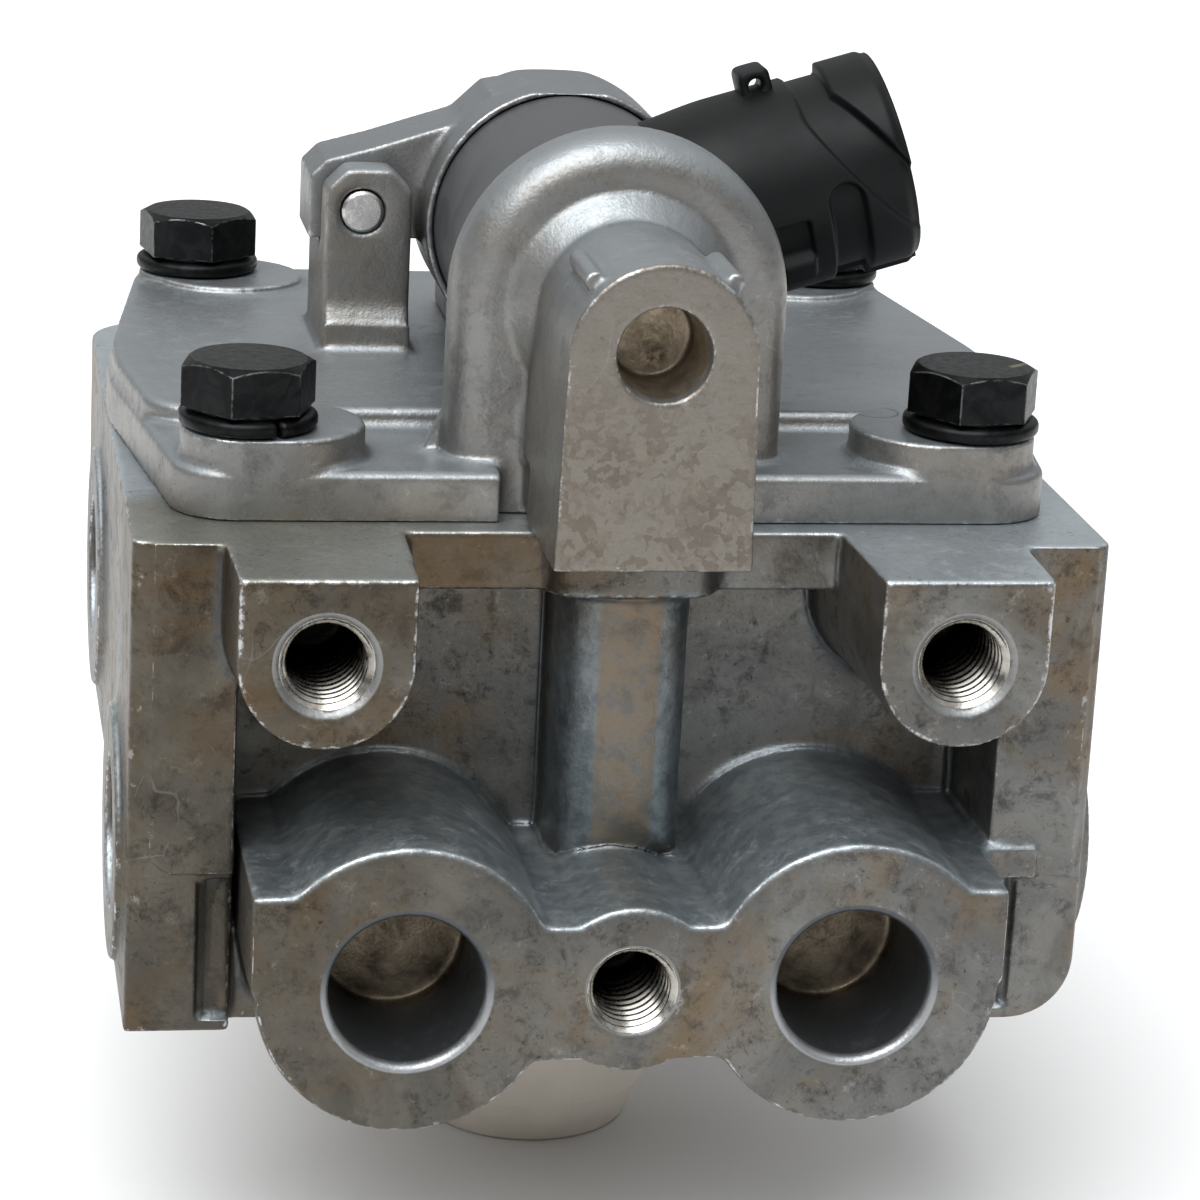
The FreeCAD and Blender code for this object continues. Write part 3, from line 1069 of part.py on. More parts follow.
def connector():
    """The barrel, its bayonet lugs and tab, fitted to the solenoid's round shell."""
    lug_inner = "socket_radius - bayonet_lug_height"
    lug_outer = "socket_radius + bayonet_lug_height"
    along = ("socket_collar_start - bayonet_lug_length", "socket_collar_start")
    half = ("-bayonet_lug_width / 2", "bayonet_lug_width / 2")
    tab_half = ("-tab_width / 2", "tab_width / 2")
    pieces = [
        connector_barrel(),
        box("lug_front", half, (f"-({lug_outer})", f"-({lug_inner})"), along),
        box("lug_back", half, (lug_inner, lug_outer), along),
        box("lug_low", (lug_inner, lug_outer), half, along),
        box("tab", ("-socket_radius - tab_height", "-socket_radius + tab_height"), tab_half,
            ("tab_start", "tab_start + tab_length")),
    ]
    floor = "socket_end - socket_bore_depth"
    roots = [rod(f"contact_root_{index}", "z", (f"{across} * contact_circle", f"{toward} * contact_circle"),
                 "contact_radius", f"{floor} - contact_root", floor)
             for index, (across, toward) in enumerate(CORNERS, start=1)]
    drilled = cut("connector_drilled", fuse("connector_joined", pieces), roots + [
        rod("tab_hole", "y", ("-socket_radius - tab_height / 2", "tab_start + tab_length / 2"),
            "tab_hole_radius", "-tab_width", "tab_width")])
    shell = rod("shell_print", "y", ("0", "solenoid_height"), "shell_radius + shell_gap / 2",
                "socket_back - 2 * shell_radius", "socket_back + 2 * shell_radius")
    cap = rod("cap_print", "y", ("0", "solenoid_height"), "cap_radius + shell_gap",
              f"{CAP_FRONT} - shell_gap", "socket_back + 2 * shell_radius")
    return cut("connector_fitted", tilted(drilled), [shell, cap])


node(connector(), "connector_socket")
for index, (across, toward) in enumerate(CORNERS, start=1):
    start = "socket_end - socket_bore_depth - contact_root"
    end = "socket_end - socket_bore_depth + contact_length"
    contact = turned(f"contact_{index}", [("0", start), ("contact_radius", start),
                                          ("contact_radius", f"{end} - contact_radius"),
                                          ("contact_radius / 2", end), ("0", end)])
    node(tilted(contact, f"{across} * contact_circle", f"{toward} * contact_circle"), f"contact_pin_{index}")


# Screws and washers: hexagon heads with a chamfered top

def hex_screw(name, shank, length, flats, height, flange, flange_height):
    """A hexagon screw whose zero is under its head."""
    hexagon = doc.addObject("Part::Prism", name + "_hexagon")
    hexagon.Polygon = 6
    bind(hexagon, Circumradius=f"{flats} / sqrt(3)", Height=height)
    slope = doc.addObject("Part::Cone", name + "_slope")
    top = f"{flats} / 2 * head_top_share"
    bind(slope, Radius1=f"{top} + {height} / tan(head_chamfer * 1 deg)", Radius2=top, Height=height)
    head = doc.addObject("Part::MultiCommon", name + "_head")
    head.Shapes = [hexagon, slope]
    place(head, z=flange_height)
    shaft = turned(name + "_shank", [
        ("0", f"-({length})"), (f"{shank} - screw_tip", f"-({length})"), (shank, f"-({length}) + screw_tip"),
        (shank, "0"), (flange, "0"), (flange, flange_height), ("0", flange_height)])
    return fuse(name, [shaft, head])


def set_upright(thing, x, y, z, angle):
    """Stand a piece at three formulas, turned about Z."""
    thing.Placement = FreeCAD.Placement(FreeCAD.Vector(), FreeCAD.Rotation(AXES["z"], angle))
    return place(thing, x, y, z)


def spring_washer(name):
    """A split washer with rounded edges, whose cut looks along +X."""
    inner, outer, edge = "bolt_radius + shell_gap", "washer_outer_radius", "washer_edge"
    plain = turned(name + "_ring", [
        (inner, "0"), (f"{outer} - {edge}", "0"), (outer, edge), (outer, f"washer_height - {edge}"),
        (f"{outer} - {edge}", "washer_height"), (inner, "washer_height")])
    gap = box(name + "_gap", ("0", f"{outer} + overshoot"), ("-washer_gap / 2", "washer_gap / 2"),
              ("-overshoot", "washer_height + overshoot"))
    return cut(name, plain, [gap])


HEAD_TURNS = (12, 6, 40, 25)
WASHER_TURNS = (-67, 60, 80, 100)
for index, (x_sign, y_sign) in enumerate(CORNERS, start=1):
    x, y = f"{x_sign} * bolt_x", f"{y_sign} * bolt_y"
    pad_top = "body_top + bolt_pad_height"
    washer = spring_washer(f"washer_{index}")
    node(set_upright(washer, x, y, pad_top, WASHER_TURNS[index - 1]), f"spring_washer_{index}")
    bolt = hex_screw(f"bolt_{index}", "bolt_radius", "bolt_length", "bolt_flats", "bolt_head_height",
                     "bolt_flats / 2 * head_top_share", "head_washer_face")
    node(set_upright(bolt, x, y, f"{pad_top} + washer_height", HEAD_TURNS[index - 1]), f"cover_bolt_{index}")
for index, (x, y) in enumerate((("screw_side_x", "screw_side_y"), ("0", "screw_back_y")), start=1):
    screw = hex_screw(f"screw_{index}", "screw_radius", "screw_length", "screw_flats", "screw_head_height",
                      "screw_flange_radius", "screw_flange_height")
    node(set_upright(screw, x, y, f"{FOOT_FLOOR} + foot_height", HEAD_TURNS[index]), f"cap_screw_{index}")


# Relay piston with its seal and its spring

def relay_piston():
    """A cup-shaped piston whose hollow stem ends in the exhaust seat."""
    outer = "piston_bore_radius - piston_clearance"
    groove = "piston_bore_radius - 2 * piston_seal_wire - piston_clearance"
    upper = f"{PISTON_TOP} - piston_seal_drop + piston_seal_wire + shell_gap"
    lower = f"{PISTON_TOP} - piston_seal_drop - piston_seal_wire - shell_gap"
    rim = f"{outer} - piston_rim"
    bottom, web = f"{PISTON_TOP} - piston_height", f"{PISTON_TOP} - piston_web"
    lip = f"{VALVE_TOP} + exhaust_gap"
    bevel = "(stem_radius - stem_bore_radius - exhaust_lip_width)"
    hollow = f"{PISTON_TOP} - 2 * piston_web"
    return turned("piston_turned", [
        ("0", PISTON_TOP), (outer, PISTON_TOP), (outer, upper), (groove, upper), (groove, lower),
        (outer, lower), (outer, bottom), (rim, bottom), (rim, web), ("stem_radius", web),
        ("stem_radius", lip), ("stem_radius - exhaust_lip_width", lip),
        ("stem_bore_radius", f"{lip} + {bevel}"), ("stem_bore_radius", hollow), ("0", hollow)])


node(relay_piston(), "relay_piston")
node(ring("piston_seal_ring", "piston_bore_radius - piston_seal_wire - seal_clearance", "piston_seal_wire",
          f"{PISTON_TOP} - piston_seal_drop"), "piston_seal")
piston_coil = coil("piston_coil", "piston_spring_radius", "piston_spring_wire", "piston_spring_pitch",
                   f"{PISTON_TOP} - piston_web - {WEB_TOP} - 2 * spring_seat_gap")
node(place(piston_coil, z=f"{WEB_TOP} + spring_seat_gap + piston_spring_wire"), "piston_spring")


# Inlet valve: a flanged tube faced with rubber, pushed up by its spring

valve = turned("valve_turned", [
    ("valve_tube_bore", "valve_tube_bottom"), ("valve_tube_radius", "valve_tube_bottom"),
    ("valve_tube_radius", FLANGE_BOTTOM), ("valve_flange_radius", FLANGE_BOTTOM),
    ("valve_flange_radius", FLANGE_TOP), ("valve_tube_bore", FLANGE_TOP)])
node(valve, "inlet_valve")
rubber = turned("rubber_turned", [
    ("valve_rubber_bore", FLANGE_TOP), ("valve_flange_radius", FLANGE_TOP),
    ("valve_flange_radius", f"{VALVE_TOP} - washer_edge"), ("valve_flange_radius - washer_edge", VALVE_TOP),
    ("valve_rubber_bore", VALVE_TOP)])
node(rubber, "valve_rubber")
valve_coil = coil("valve_coil", "valve_spring_radius", "valve_spring_wire", "valve_spring_pitch",
                  f"{FLANGE_BOTTOM} - guide_pocket_floor - 2 * spring_seat_gap")
node(place(valve_coil, z="guide_pocket_floor + spring_seat_gap + valve_spring_wire"), "valve_spring")


# Valve guide with its two seals and the snap ring that holds it

def valve_guide():
    """The turned insert that guides the valve's tube and takes the silencer's neck."""
    outer = "guide_bore_radius - guide_fit"
    bore = "valve_tube_radius + valve_fit"
    neck = "silencer_neck_radius + silencer_neck_fit"
    groove = "guide_bore_radius - 2 * guide_seal_wire - guide_fit"
    low = "guide_seal_height - guide_seal_wire - shell_gap"
    high = "guide_seal_height + guide_seal_wire + shell_gap"
    seal_floor = "valve_tube_radius + 2 * stem_seal_wire + guide_fit"
    seal_low = "stem_seal_height - stem_seal_wire - shell_gap"
    seal_high = "stem_seal_height + stem_seal_wire + shell_gap"
    top = "guide_bore_top - guide_fit"
    return turned("guide_turned", [
        (neck, "guide_bottom"), (outer, "guide_bottom"), (outer, low), (groove, low), (groove, high),
        (outer, high), (outer, top), ("guide_pocket_radius", top),
        ("guide_pocket_radius", "guide_pocket_floor"),
        ("guide_hub_radius", "guide_pocket_floor"), ("guide_hub_radius", HUB_TOP),
        (bore, HUB_TOP), (bore, seal_high), (seal_floor, seal_high), (seal_floor, seal_low),
        (bore, seal_low), (bore, "guide_recess_top"), (neck, "guide_recess_top")])


node(valve_guide(), "valve_guide")
node(ring("guide_seal_ring", "guide_bore_radius - guide_seal_wire - seal_clearance", "guide_seal_wire",
          "guide_seal_height"), "guide_seal")
node(ring("stem_seal_ring", "valve_tube_radius + stem_seal_wire + seal_clearance", "stem_seal_wire",
          "stem_seal_height"), "stem_seal")
ring_outer = "guide_bore_radius + ring_groove_depth - guide_fit"
ring_low = "ring_groove_bottom + seal_clearance"
ring_high = "ring_groove_bottom + ring_groove_height - seal_clearance"
snap_ring = cut("snap_ring_open", turned("snap_ring_turned", [
    ("ring_inner_radius", ring_low), (ring_outer, ring_low), (ring_outer, ring_high),
    ("ring_inner_radius", ring_high)]), [
    box("snap_ring_gap", ("-ring_gap_width / 2", "ring_gap_width / 2"), ("0", f"{ring_outer} + overshoot"),
        (f"{ring_low} - overshoot", f"{ring_high} + overshoot"))])
node(snap_ring, "snap_ring")
node(ring("cover_seal_torus", "cover_seal_radius", "cover_seal_wire", "body_top + cover_seal_wire"),
     "cover_seal")


# Silencer: the housing that the valve stands on and its knitted pack

NECK_TOP = "guide_recess_top - silencer_neck_fit"
housing = turned("housing_turned", [
    ("mouth_bore_radius", "0"), ("mouth_radius", "0"), ("silencer_radius", "silencer_taper_height"),
    ("silencer_radius", "silencer_collar_bottom"), ("silencer_collar_radius", "silencer_collar_bottom"),
    ("silencer_collar_radius", "silencer_collar_top"), ("silencer_neck_radius", "silencer_collar_top"),
    ("silencer_neck_radius", NECK_TOP), ("silencer_bore_radius", NECK_TOP),
    ("silencer_bore_radius", "mouth_bore_height"), ("mouth_bore_radius", "mouth_bore_height")])
node(housing, "silencer_housing")
PACK_RADIUS, PACK_TOP = "silencer_bore_radius - silencer_neck_fit", "mouth_bore_height + pack_height"
pack = turned("pack_turned", [
    ("pack_hole_radius", "mouth_bore_height"), (PACK_RADIUS, "mouth_bore_height"),
    (PACK_RADIUS, PACK_TOP), ("pack_hole_radius", PACK_TOP)])
node(pack, "silencer_pack")

doc.recompute()

# Each finished sub-part is checked, then written

for thing in doc.Objects:
    faults = [word for word in thing.State if word in ("Invalid", "Error")]
    if faults:
        raise RuntimeError(f"{thing.Label} failed: {faults}")
for thing in nodes:
    if thing.Shape.isNull() or not thing.Shape.isValid():
        raise RuntimeError(f"{thing.Label} has no valid shape")
    thing.Shape.exportStep(f"parts/{thing.Label}.step")
    size = thing.Shape.BoundBox
    print(f"{thing.Label}: {len(thing.Shape.Solids)} solid, {thing.Shape.Volume:.0f} mm3, "
          f"{size.XLength:.1f} x {size.YLength:.1f} x {size.ZLength:.1f}")
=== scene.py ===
# %% [markdown]
# # A brake relay valve, finished in Blender
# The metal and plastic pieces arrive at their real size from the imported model. This lesson gives them
# their surfaces: soft cast corners, threads, a moulded plug socket, wear, stains and light.

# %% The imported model
import bmesh
import bpy
import json
import math
import numpy as np
from mathutils import Matrix, Vector


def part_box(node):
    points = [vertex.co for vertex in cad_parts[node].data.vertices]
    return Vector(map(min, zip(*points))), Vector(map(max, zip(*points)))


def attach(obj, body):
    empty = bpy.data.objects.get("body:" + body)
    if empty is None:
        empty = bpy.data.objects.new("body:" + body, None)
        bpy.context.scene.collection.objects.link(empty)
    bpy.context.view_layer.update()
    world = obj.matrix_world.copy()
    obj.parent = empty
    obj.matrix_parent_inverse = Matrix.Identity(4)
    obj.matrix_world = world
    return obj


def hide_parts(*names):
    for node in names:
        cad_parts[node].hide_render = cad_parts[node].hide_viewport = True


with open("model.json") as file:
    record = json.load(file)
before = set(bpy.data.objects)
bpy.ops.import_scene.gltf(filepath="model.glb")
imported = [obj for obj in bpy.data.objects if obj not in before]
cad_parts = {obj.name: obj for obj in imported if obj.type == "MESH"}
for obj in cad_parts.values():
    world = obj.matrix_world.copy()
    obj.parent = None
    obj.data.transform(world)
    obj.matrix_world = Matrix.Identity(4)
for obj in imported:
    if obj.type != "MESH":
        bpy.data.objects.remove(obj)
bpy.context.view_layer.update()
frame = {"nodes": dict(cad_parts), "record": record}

nodes = frame["nodes"]
MM = 0.001
print("pieces from the model:", len(nodes))

# %% [markdown]
# ## The camera
# The photograph was taken with a long lens from the front, a little above and to the left. The eye's
# place and the three directions of its view were solved from the valve's known holes.

# %% The camera
EYE = Vector((-94.584, -571.061, 251.748)) * MM
TURN, PITCH, ROLL = math.radians(10.19), math.radians(16.5), math.radians(3.01)
LENS = 122.43
NEAREST, FARTHEST = 0.01, 50


def view_directions():
    """The view's right, up and back: a turn about Z, a pitch and a roll about the line of sight."""
    back = Vector((-math.sin(TURN) * math.cos(PITCH), -math.cos(TURN) * math.cos(PITCH), math.sin(PITCH)))
    level = Vector((math.cos(TURN), -math.sin(TURN), 0))
    upright = back.cross(level)
    right = math.cos(ROLL) * level + math.sin(ROLL) * upright
    up = -math.sin(ROLL) * level + math.cos(ROLL) * upright
    return right, up, back


def add_camera():
    """A camera at the eye, whose axes are the three directions."""
    data = bpy.data.cameras.new("Camera")
    data.lens = LENS
    data.clip_start, data.clip_end = NEAREST, FARTHEST
    camera = bpy.data.objects.new("Camera", data)
    bpy.context.scene.collection.objects.link(camera)
    camera.matrix_world = Matrix.Translation(EYE) @ Matrix(view_directions()).transposed().to_4x4()
    bpy.context.scene.camera = camera


add_camera()
print("the camera stands", round(EYE.length, 3), "m from the exhaust")

# %% [markdown]
# ## Helpers for surfaces
# Every new piece is a grid of points worked out as whole arrays. The grid is closed round one or both of
# its parameters, and its points go into a mesh in one step.

# %% A mesh from a grid of points
def grid_faces(rows, columns, closed_rows=False, closed_columns=False):
    """The quads of a grid: corner, next column, next row and column, next row."""
    row = np.arange(rows if closed_rows else rows - 1)[:, None]
    column = np.arange(columns if closed_columns else columns - 1)[None, :]
    next_row, next_column = (row + 1) % rows, (column + 1) % columns
    corners = [row * columns + column, row * columns + next_column,
               next_row * columns + next_column, next_row * columns + column]
    return np.stack(corners, axis=-1).reshape(-1, 4)


JOIN = 1e-7


def solid_from(name, points, faces):
    """A smooth piece from points and faces: equal points joined, normals outwards."""
    mesh = bpy.data.meshes.new(name)
    mesh.from_pydata(points.reshape(-1, 3).tolist(), [], faces)
    net = bmesh.new()
    net.from_mesh(mesh)
    bmesh.ops.remove_doubles(net, verts=net.verts, dist=JOIN)
    bmesh.ops.recalc_face_normals(net, faces=net.faces)
    net.to_mesh(mesh)
    net.free()
    mesh.shade_smooth()
    piece = bpy.data.objects.new(name, mesh)
    bpy.context.scene.collection.objects.link(piece)
    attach(piece, "housing")
    return piece


# %% [markdown]
# ## Cast skins
# A die casting has no sharp inside corners: metal can't fill them, so the mould has fillets. The model's
# castings are exact but sharp, so each gets a skin. A copy is turned into an even net of small cells, and
# then a fillet grows wherever the mean of a point's neighbours lies outside the metal. Outer edges are only
# rounded a little, and bores that were machined keep their walls.

# %% The net of a casting
CAD_JOIN = 1e-6


def merged_copy(name, node):
    """A copy of a CAD node's mesh with its loose triangles joined."""
    mesh = nodes[node].data.copy()
    mesh.name = name
    net = bmesh.new()
    net.from_mesh(mesh)
    bmesh.ops.remove_doubles(net, verts=net.verts, dist=CAD_JOIN)
    net.to_mesh(mesh)
    net.free()
    piece = bpy.data.objects.new(name, mesh)
    bpy.context.scene.collection.objects.link(piece)
    return piece


def baked(piece):
    """Make a piece's modifiers part of its mesh."""
    bpy.context.view_layer.update()
    source = piece.evaluated_get(bpy.context.evaluated_depsgraph_get())
    mesh = bpy.data.meshes.new_from_object(source)
    piece.modifiers.clear()
    piece.data = mesh
    return piece


def even_net(piece, cell):
    """Rebuild a piece as an even net of cells."""
    remesh = piece.modifiers.new("net", "REMESH")
    remesh.mode = "VOXEL"
    remesh.voxel_size = cell
    return baked(piece)


# %% The fillets of a casting
def edge_ends(mesh):
    """The two ends of every edge, as two arrays."""
    ends = np.empty(len(mesh.edges) * 2, np.int32)
    mesh.edges.foreach_get("vertices", ends)
    return ends[0::2], ends[1::2]


def relaxed(points, ends, rounds):
    """Move each point half way to the mean of its neighbours, a number of times."""
    first, second = ends
    count = len(points)
    share = np.bincount(first, minlength=count) + np.bincount(second, minlength=count)
    for _ in range(rounds):
        mean = np.stack([np.bincount(first, points[second, axis], count)
                         + np.bincount(second, points[first, axis], count) for axis in range(3)], axis=1)
        points = 0.5 * points + 0.5 * mean / share[:, None]
    return points


def points_of(mesh):
    """A mesh's points as an array."""
    points = np.empty(len(mesh.vertices) * 3)
    mesh.vertices.foreach_get("co", points)
    return points.reshape(-1, 3)


def move_points(mesh, points):
    """Give a mesh's points new places."""
    mesh.vertices.foreach_set("co", points.ravel())
    mesh.update()


def normals_of(mesh):
    """A mesh's normals at its points."""
    normals = np.empty(len(mesh.vertices) * 3)
    mesh.vertex_normals.foreach_get("vector", normals)
    return normals.reshape(-1, 3)


def keep_value(mesh, name, values):
    """Store one number for every point of a mesh, for its finish to read."""
    mesh.attributes.new(name, "FLOAT", "POINT").data.foreach_set("value", values)


EDGE_ROUNDS = 5


def grow_fillets(piece, rounds, edge_rounds, free, soft):
    """Point + normal x how far the strongly relaxed point lies outside x freedom, or inside x softness.

    How far an edge stands out and how deep a corner lies are kept in millimetres: the first for wear and
    painted highlight on edges, the second for painted shade in corners.
    """
    mesh = piece.data
    ends = edge_ends(mesh)
    raw = points_of(mesh)
    rounded = relaxed(raw, ends, edge_rounds)
    move_points(mesh, rounded)
    normals = normals_of(mesh)
    standing = np.einsum("ij,ij->i", raw - relaxed(raw, ends, EDGE_ROUNDS), normals)
    outside = np.einsum("ij,ij->i", relaxed(rounded, ends, rounds) - rounded, normals)
    shift = np.where(outside > 0, outside * free(rounded), outside * soft(rounded))
    move_points(mesh, rounded + normals * shift[:, None])
    keep_value(mesh, "edge", np.clip(standing, 0, None) / MM)
    keep_value(mesh, "hollow", np.clip(outside, 0, None) / MM)


def thinned(piece, triangles):
    """Merge points until the piece has at most that many triangles, then even its shading."""
    now = sum(len(face.vertices) - 2 for face in piece.data.polygons)
    if now > triangles:
        fewer = piece.modifiers.new("thin", "DECIMATE")
        fewer.ratio = triangles / now
        fewer.use_collapse_triangulate = True
        baked(piece)
    piece.data.shade_smooth()
    even = piece.modifiers.new("shading", "WEIGHTED_NORMAL")
    even.mode = "FACE_AREA"
    baked(piece)


# %% Where a skin is left as it is, or changed at listed places
FEATHER = 1.8


def clear_of_bores(points, bores):
    """0 in a machined bore, 1 from FEATHER beyond it: (axis, centre, radius, start, end) in mm."""
    free = np.ones(len(points))
    for axis, centre, radius, start, end in bores:
        along = "xyz".index(axis)
        across = [index for index in range(3) if index != along]
        distance = np.linalg.norm(points[:, across] - np.array(centre) * MM, axis=1)
        inside = (points[:, along] > start * MM) & (points[:, along] < end * MM)
        rise = np.clip((distance / MM - radius) / FEATHER, 0, 1)
        free[inside] = np.minimum(free[inside], rise[inside])
    return free


def softness(points, zones):
    """How much outer edges are rounded: the share of the box they lie in, (low, high, share) in mm."""
    soft = np.zeros(len(points))
    for low, high, share in zones:
        inside = np.all((points > np.array(low) * MM) & (points < np.array(high) * MM), axis=1)
        soft[inside] = np.maximum(soft[inside], share)
    return soft


WALL_REACH = 0.75


def widened(piece, holes, gain):
    """Push a front hole's wall out, so that a thread fits in: (x, z, radius, start, end) in mm."""
    points = points_of(piece.data)
    for x, z, radius, start, end in holes:
        arm = points[:, [0, 2]] - np.array([x, z]) * MM
        distance = np.linalg.norm(arm, axis=1)
        wall = np.abs(distance / MM - radius) < WALL_REACH
        wall &= (points[:, 1] > start * MM) & (points[:, 1] < end * MM)
        points[wall, 0] += arm[wall, 0] / distance[wall] * gain * MM
        points[wall, 2] += arm[wall, 1] / distance[wall] * gain * MM
    move_points(piece.data, points)


FOOT_RADII, FOOT_HEIGHTS, FOOT_DEPTH = (35, 36.3), (91.5, 92.8), 0.4


def relieved(piece, radii, heights, depth):
    """Sink the rounded foot of the main bore, which leaves room for the piston's rim, in mm."""
    points = points_of(piece.data)
    reach = np.linalg.norm(points[:, :2], axis=1) / MM
    height = points[:, 2] / MM
    foot = (reach > radii[0]) & (reach < radii[1]) & (height > heights[0]) & (height < heights[1])
    points[foot, 2] -= depth * MM
    move_points(piece.data, points)


# %% The skins of the three castings
PORTS = ((-29.6, 52.3), (29.6, 52.3))
PORT_REACH, PIN_HOLE = 12.2, (0, 136.5)
BODY_BORES = [
    *(("y", port, PORT_REACH, -90, -55) for port in PORTS), ("y", (0, 52), 7.4, -90, -60),
    ("y", (-41.3, 96.4), 8.2, -90, -58), ("y", (41.3, 96.4), 8.2, -90, -58),
    ("y", (0, 65), PORT_REACH, 48, 70), ("z", (0, 0), 37, 38, 106),
    *(("x", port, PORT_REACH, *side) for port in ((-47, 61.4), (9, 82.4)) for side in ((50, 70), (-70, -50))),
]
COVER_BORES = [("y", PIN_HOLE, 18, -90, -50), ("y", (0, 136), 19.8, -45, 25), ("z", (0, 0), 42, 100, 112)]
BODY_SOFT = [((-13, -66, 57), (13, -46, 95), 0.9), ((-60, -86, 30), (60, -80, 76), 0.45)]
COVER_SOFT = [((-36, -1, 120), (-20, 9, 146), 0.6)]
THREADS = {"left": (-41.3, 96.4, 5.2, -83.3, -61.5), "right": (41.3, 96.4, 5.2, -83.3, -61.5),
           "centre": (0, 52, 5.1, -84.2, -65.5)}
THREAD_DEPTH, THREAD_ROOM = 0.8, 0.1
CHAMFER = 0.6


def skin(name, node, cell, rounds, edge_rounds, triangles, bores=(), zones=(), holes=()):
    """The finished skin of a casting, which stands for its CAD node."""
    piece = even_net(merged_copy(name, node), cell * MM)
    grow_fillets(piece, rounds, edge_rounds, lambda points: clear_of_bores(points, bores),
                 lambda points: softness(points, zones) * clear_of_bores(points, bores))
    widened(piece, holes, THREAD_DEPTH + THREAD_ROOM)
    thinned(piece, triangles)
    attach(piece, "housing")
    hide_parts(node)
    print(name, "has", len(piece.data.polygons), "faces and keeps", list(piece.data.attributes.keys()))
    return piece


thread_holes = [(x, z, radius, start + CHAMFER, end) for x, z, radius, start, end in THREADS.values()]
body_skin = skin("body_skin", "lower_body", cell=0.45, rounds=60, edge_rounds=2, triangles=195000,
                 bores=BODY_BORES, zones=BODY_SOFT, holes=thread_holes)
relieved(body_skin, FOOT_RADII, FOOT_HEIGHTS, FOOT_DEPTH)
cover_skin = skin("cover_skin", "top_cover", cell=0.4, rounds=36, edge_rounds=2, triangles=195000,
                  bores=COVER_BORES, zones=COVER_SOFT)
cap_skin = skin("cap_skin", "rear_cap", cell=0.35, rounds=40, edge_rounds=4, triangles=95000)

# %% [markdown]
# ## Threads
# The model's mounting holes are plain. A tapped hole shows bright crests that wind inwards, so a thin
# sleeve with a helical profile is set into each: its radius depends on the angle and on the place along
# the hole through one saw-like wave.

# %% Threads in the mounting holes
PITCH, ROWS_A_TURN, ANGLES = 1.75, 12, 97
MOUTH_SPREAD, SLEEVE_WALL, SLEEVE_GAP = 0.9, 0.12, 0.05


def thread_sleeve(name, x, z, radius, start, end):
    """Rows that climb one pitch a turn; radius = crest + depth x wave of the row, opened at both ends."""
    steps, length = ROWS_A_TURN, end - start
    angle = np.linspace(0, 2 * np.pi, ANGLES)[None, :]
    row = np.arange(-steps, math.ceil(length / PITCH) * steps + 1)[:, None]
    along = np.clip(row * PITCH / steps + PITCH * angle / (2 * np.pi), 0, length)
    wave = np.clip(1.5 * np.abs(2 * (row / steps % 1) - 1) - 0.25, 0, 1)
    open_end = radius + MOUTH_SPREAD - np.minimum(along, length - along)
    reach = np.maximum(radius - SLEEVE_GAP + (THREAD_DEPTH - SLEEVE_GAP) * wave, open_end)
    reach = np.concatenate([reach, np.full((2, angle.size), radius + THREAD_DEPTH + SLEEVE_WALL)])
    along = np.concatenate([along, np.full((1, angle.size), length), np.zeros((1, angle.size))])
    points = np.stack([x + reach * np.cos(angle), start + along, z + reach * np.sin(angle)], axis=-1) * MM
    faces = grid_faces(len(points), points.shape[1], closed_rows=True).tolist()
    piece = solid_from(name, points, faces)
    return piece


threads = [thread_sleeve("thread_" + side, *sizes) for side, sizes in THREADS.items()]
print("threads:", [len(piece.data.polygons) for piece in threads])

# %% [markdown]
# ## Spring washers
# Under each cover bolt lies a split washer wound from nearly round wire, so it shines like a ring. It is a
# closed section carried once round the bolt: the section is a flattened circle, and the two ends meet at
# a narrow cut, one a little higher than the other.

# %% Spring washers
WASHER_CUTS = (-67, 60, 80, 100)
WASHER_RADIUS, WASHER_WIDTH, WASHER_HALF_HEIGHT = 7.2, 2.08, 1.16
WASHER_GAP, WASHER_LEAN, WASHER_FLATNESS = 3.6, 0.05, 0.7
WASHER_STEPS, WASHER_CORNERS = 120, 28


def flattened(wave):
    """A wave pushed towards its ends, which flattens a circle's four sides."""
    return np.sign(wave) * np.abs(wave) ** WASHER_FLATNESS


def wire_ring(centre, cut_angle):
    """Centre + (middle radius + half width x cos^0.7) outwards + half height x sin^0.7 up, to the cut."""
    ends = math.radians(WASHER_GAP), math.radians(360 - WASHER_GAP)
    turn = np.radians(cut_angle) + np.linspace(*ends, WASHER_STEPS)[:, None]
    around = np.linspace(0, 2 * np.pi, WASHER_CORNERS + 1)[None, :-1]
    lean = np.linspace(-WASHER_LEAN, WASHER_LEAN, turn.size)[:, None]
    reach = WASHER_RADIUS + WASHER_WIDTH * flattened(np.cos(around))
    height = WASHER_HALF_HEIGHT * flattened(np.sin(around)) + lean
    points = np.stack([reach * np.cos(turn), reach * np.sin(turn), height + 0 * turn], axis=-1) * MM + centre
    faces = grid_faces(turn.size, around.size, closed_columns=True).tolist()
    faces.append(list(range(around.size)))
    faces.append([turn.size * around.size - 1 - column for column in range(around.size)])
    return points, faces


washers = []
for number, cut_angle in enumerate(WASHER_CUTS, start=1):
    node = f"spring_washer_{number}"
    low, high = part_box(node)
    washer = solid_from(f"wire_washer_{number}", *wire_ring(np.array((low + high) / 2), cut_angle))
    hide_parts(node)
    washers.append(washer)
print("washers:", len(washers))

# %% [markdown]
# ## The plug socket
# The black socket is moulded in one piece: a barrel whose outside carries the bayonet. A sleeve ends in a
# slanted edge, a wedge stands at the mouth, and a channel runs between them, so that a plug's ring can be
# turned on. All of that is one function for the radius, over the angle round the barrel and the place
# along it, and the mouth and the inside follow as plain turned stretches.

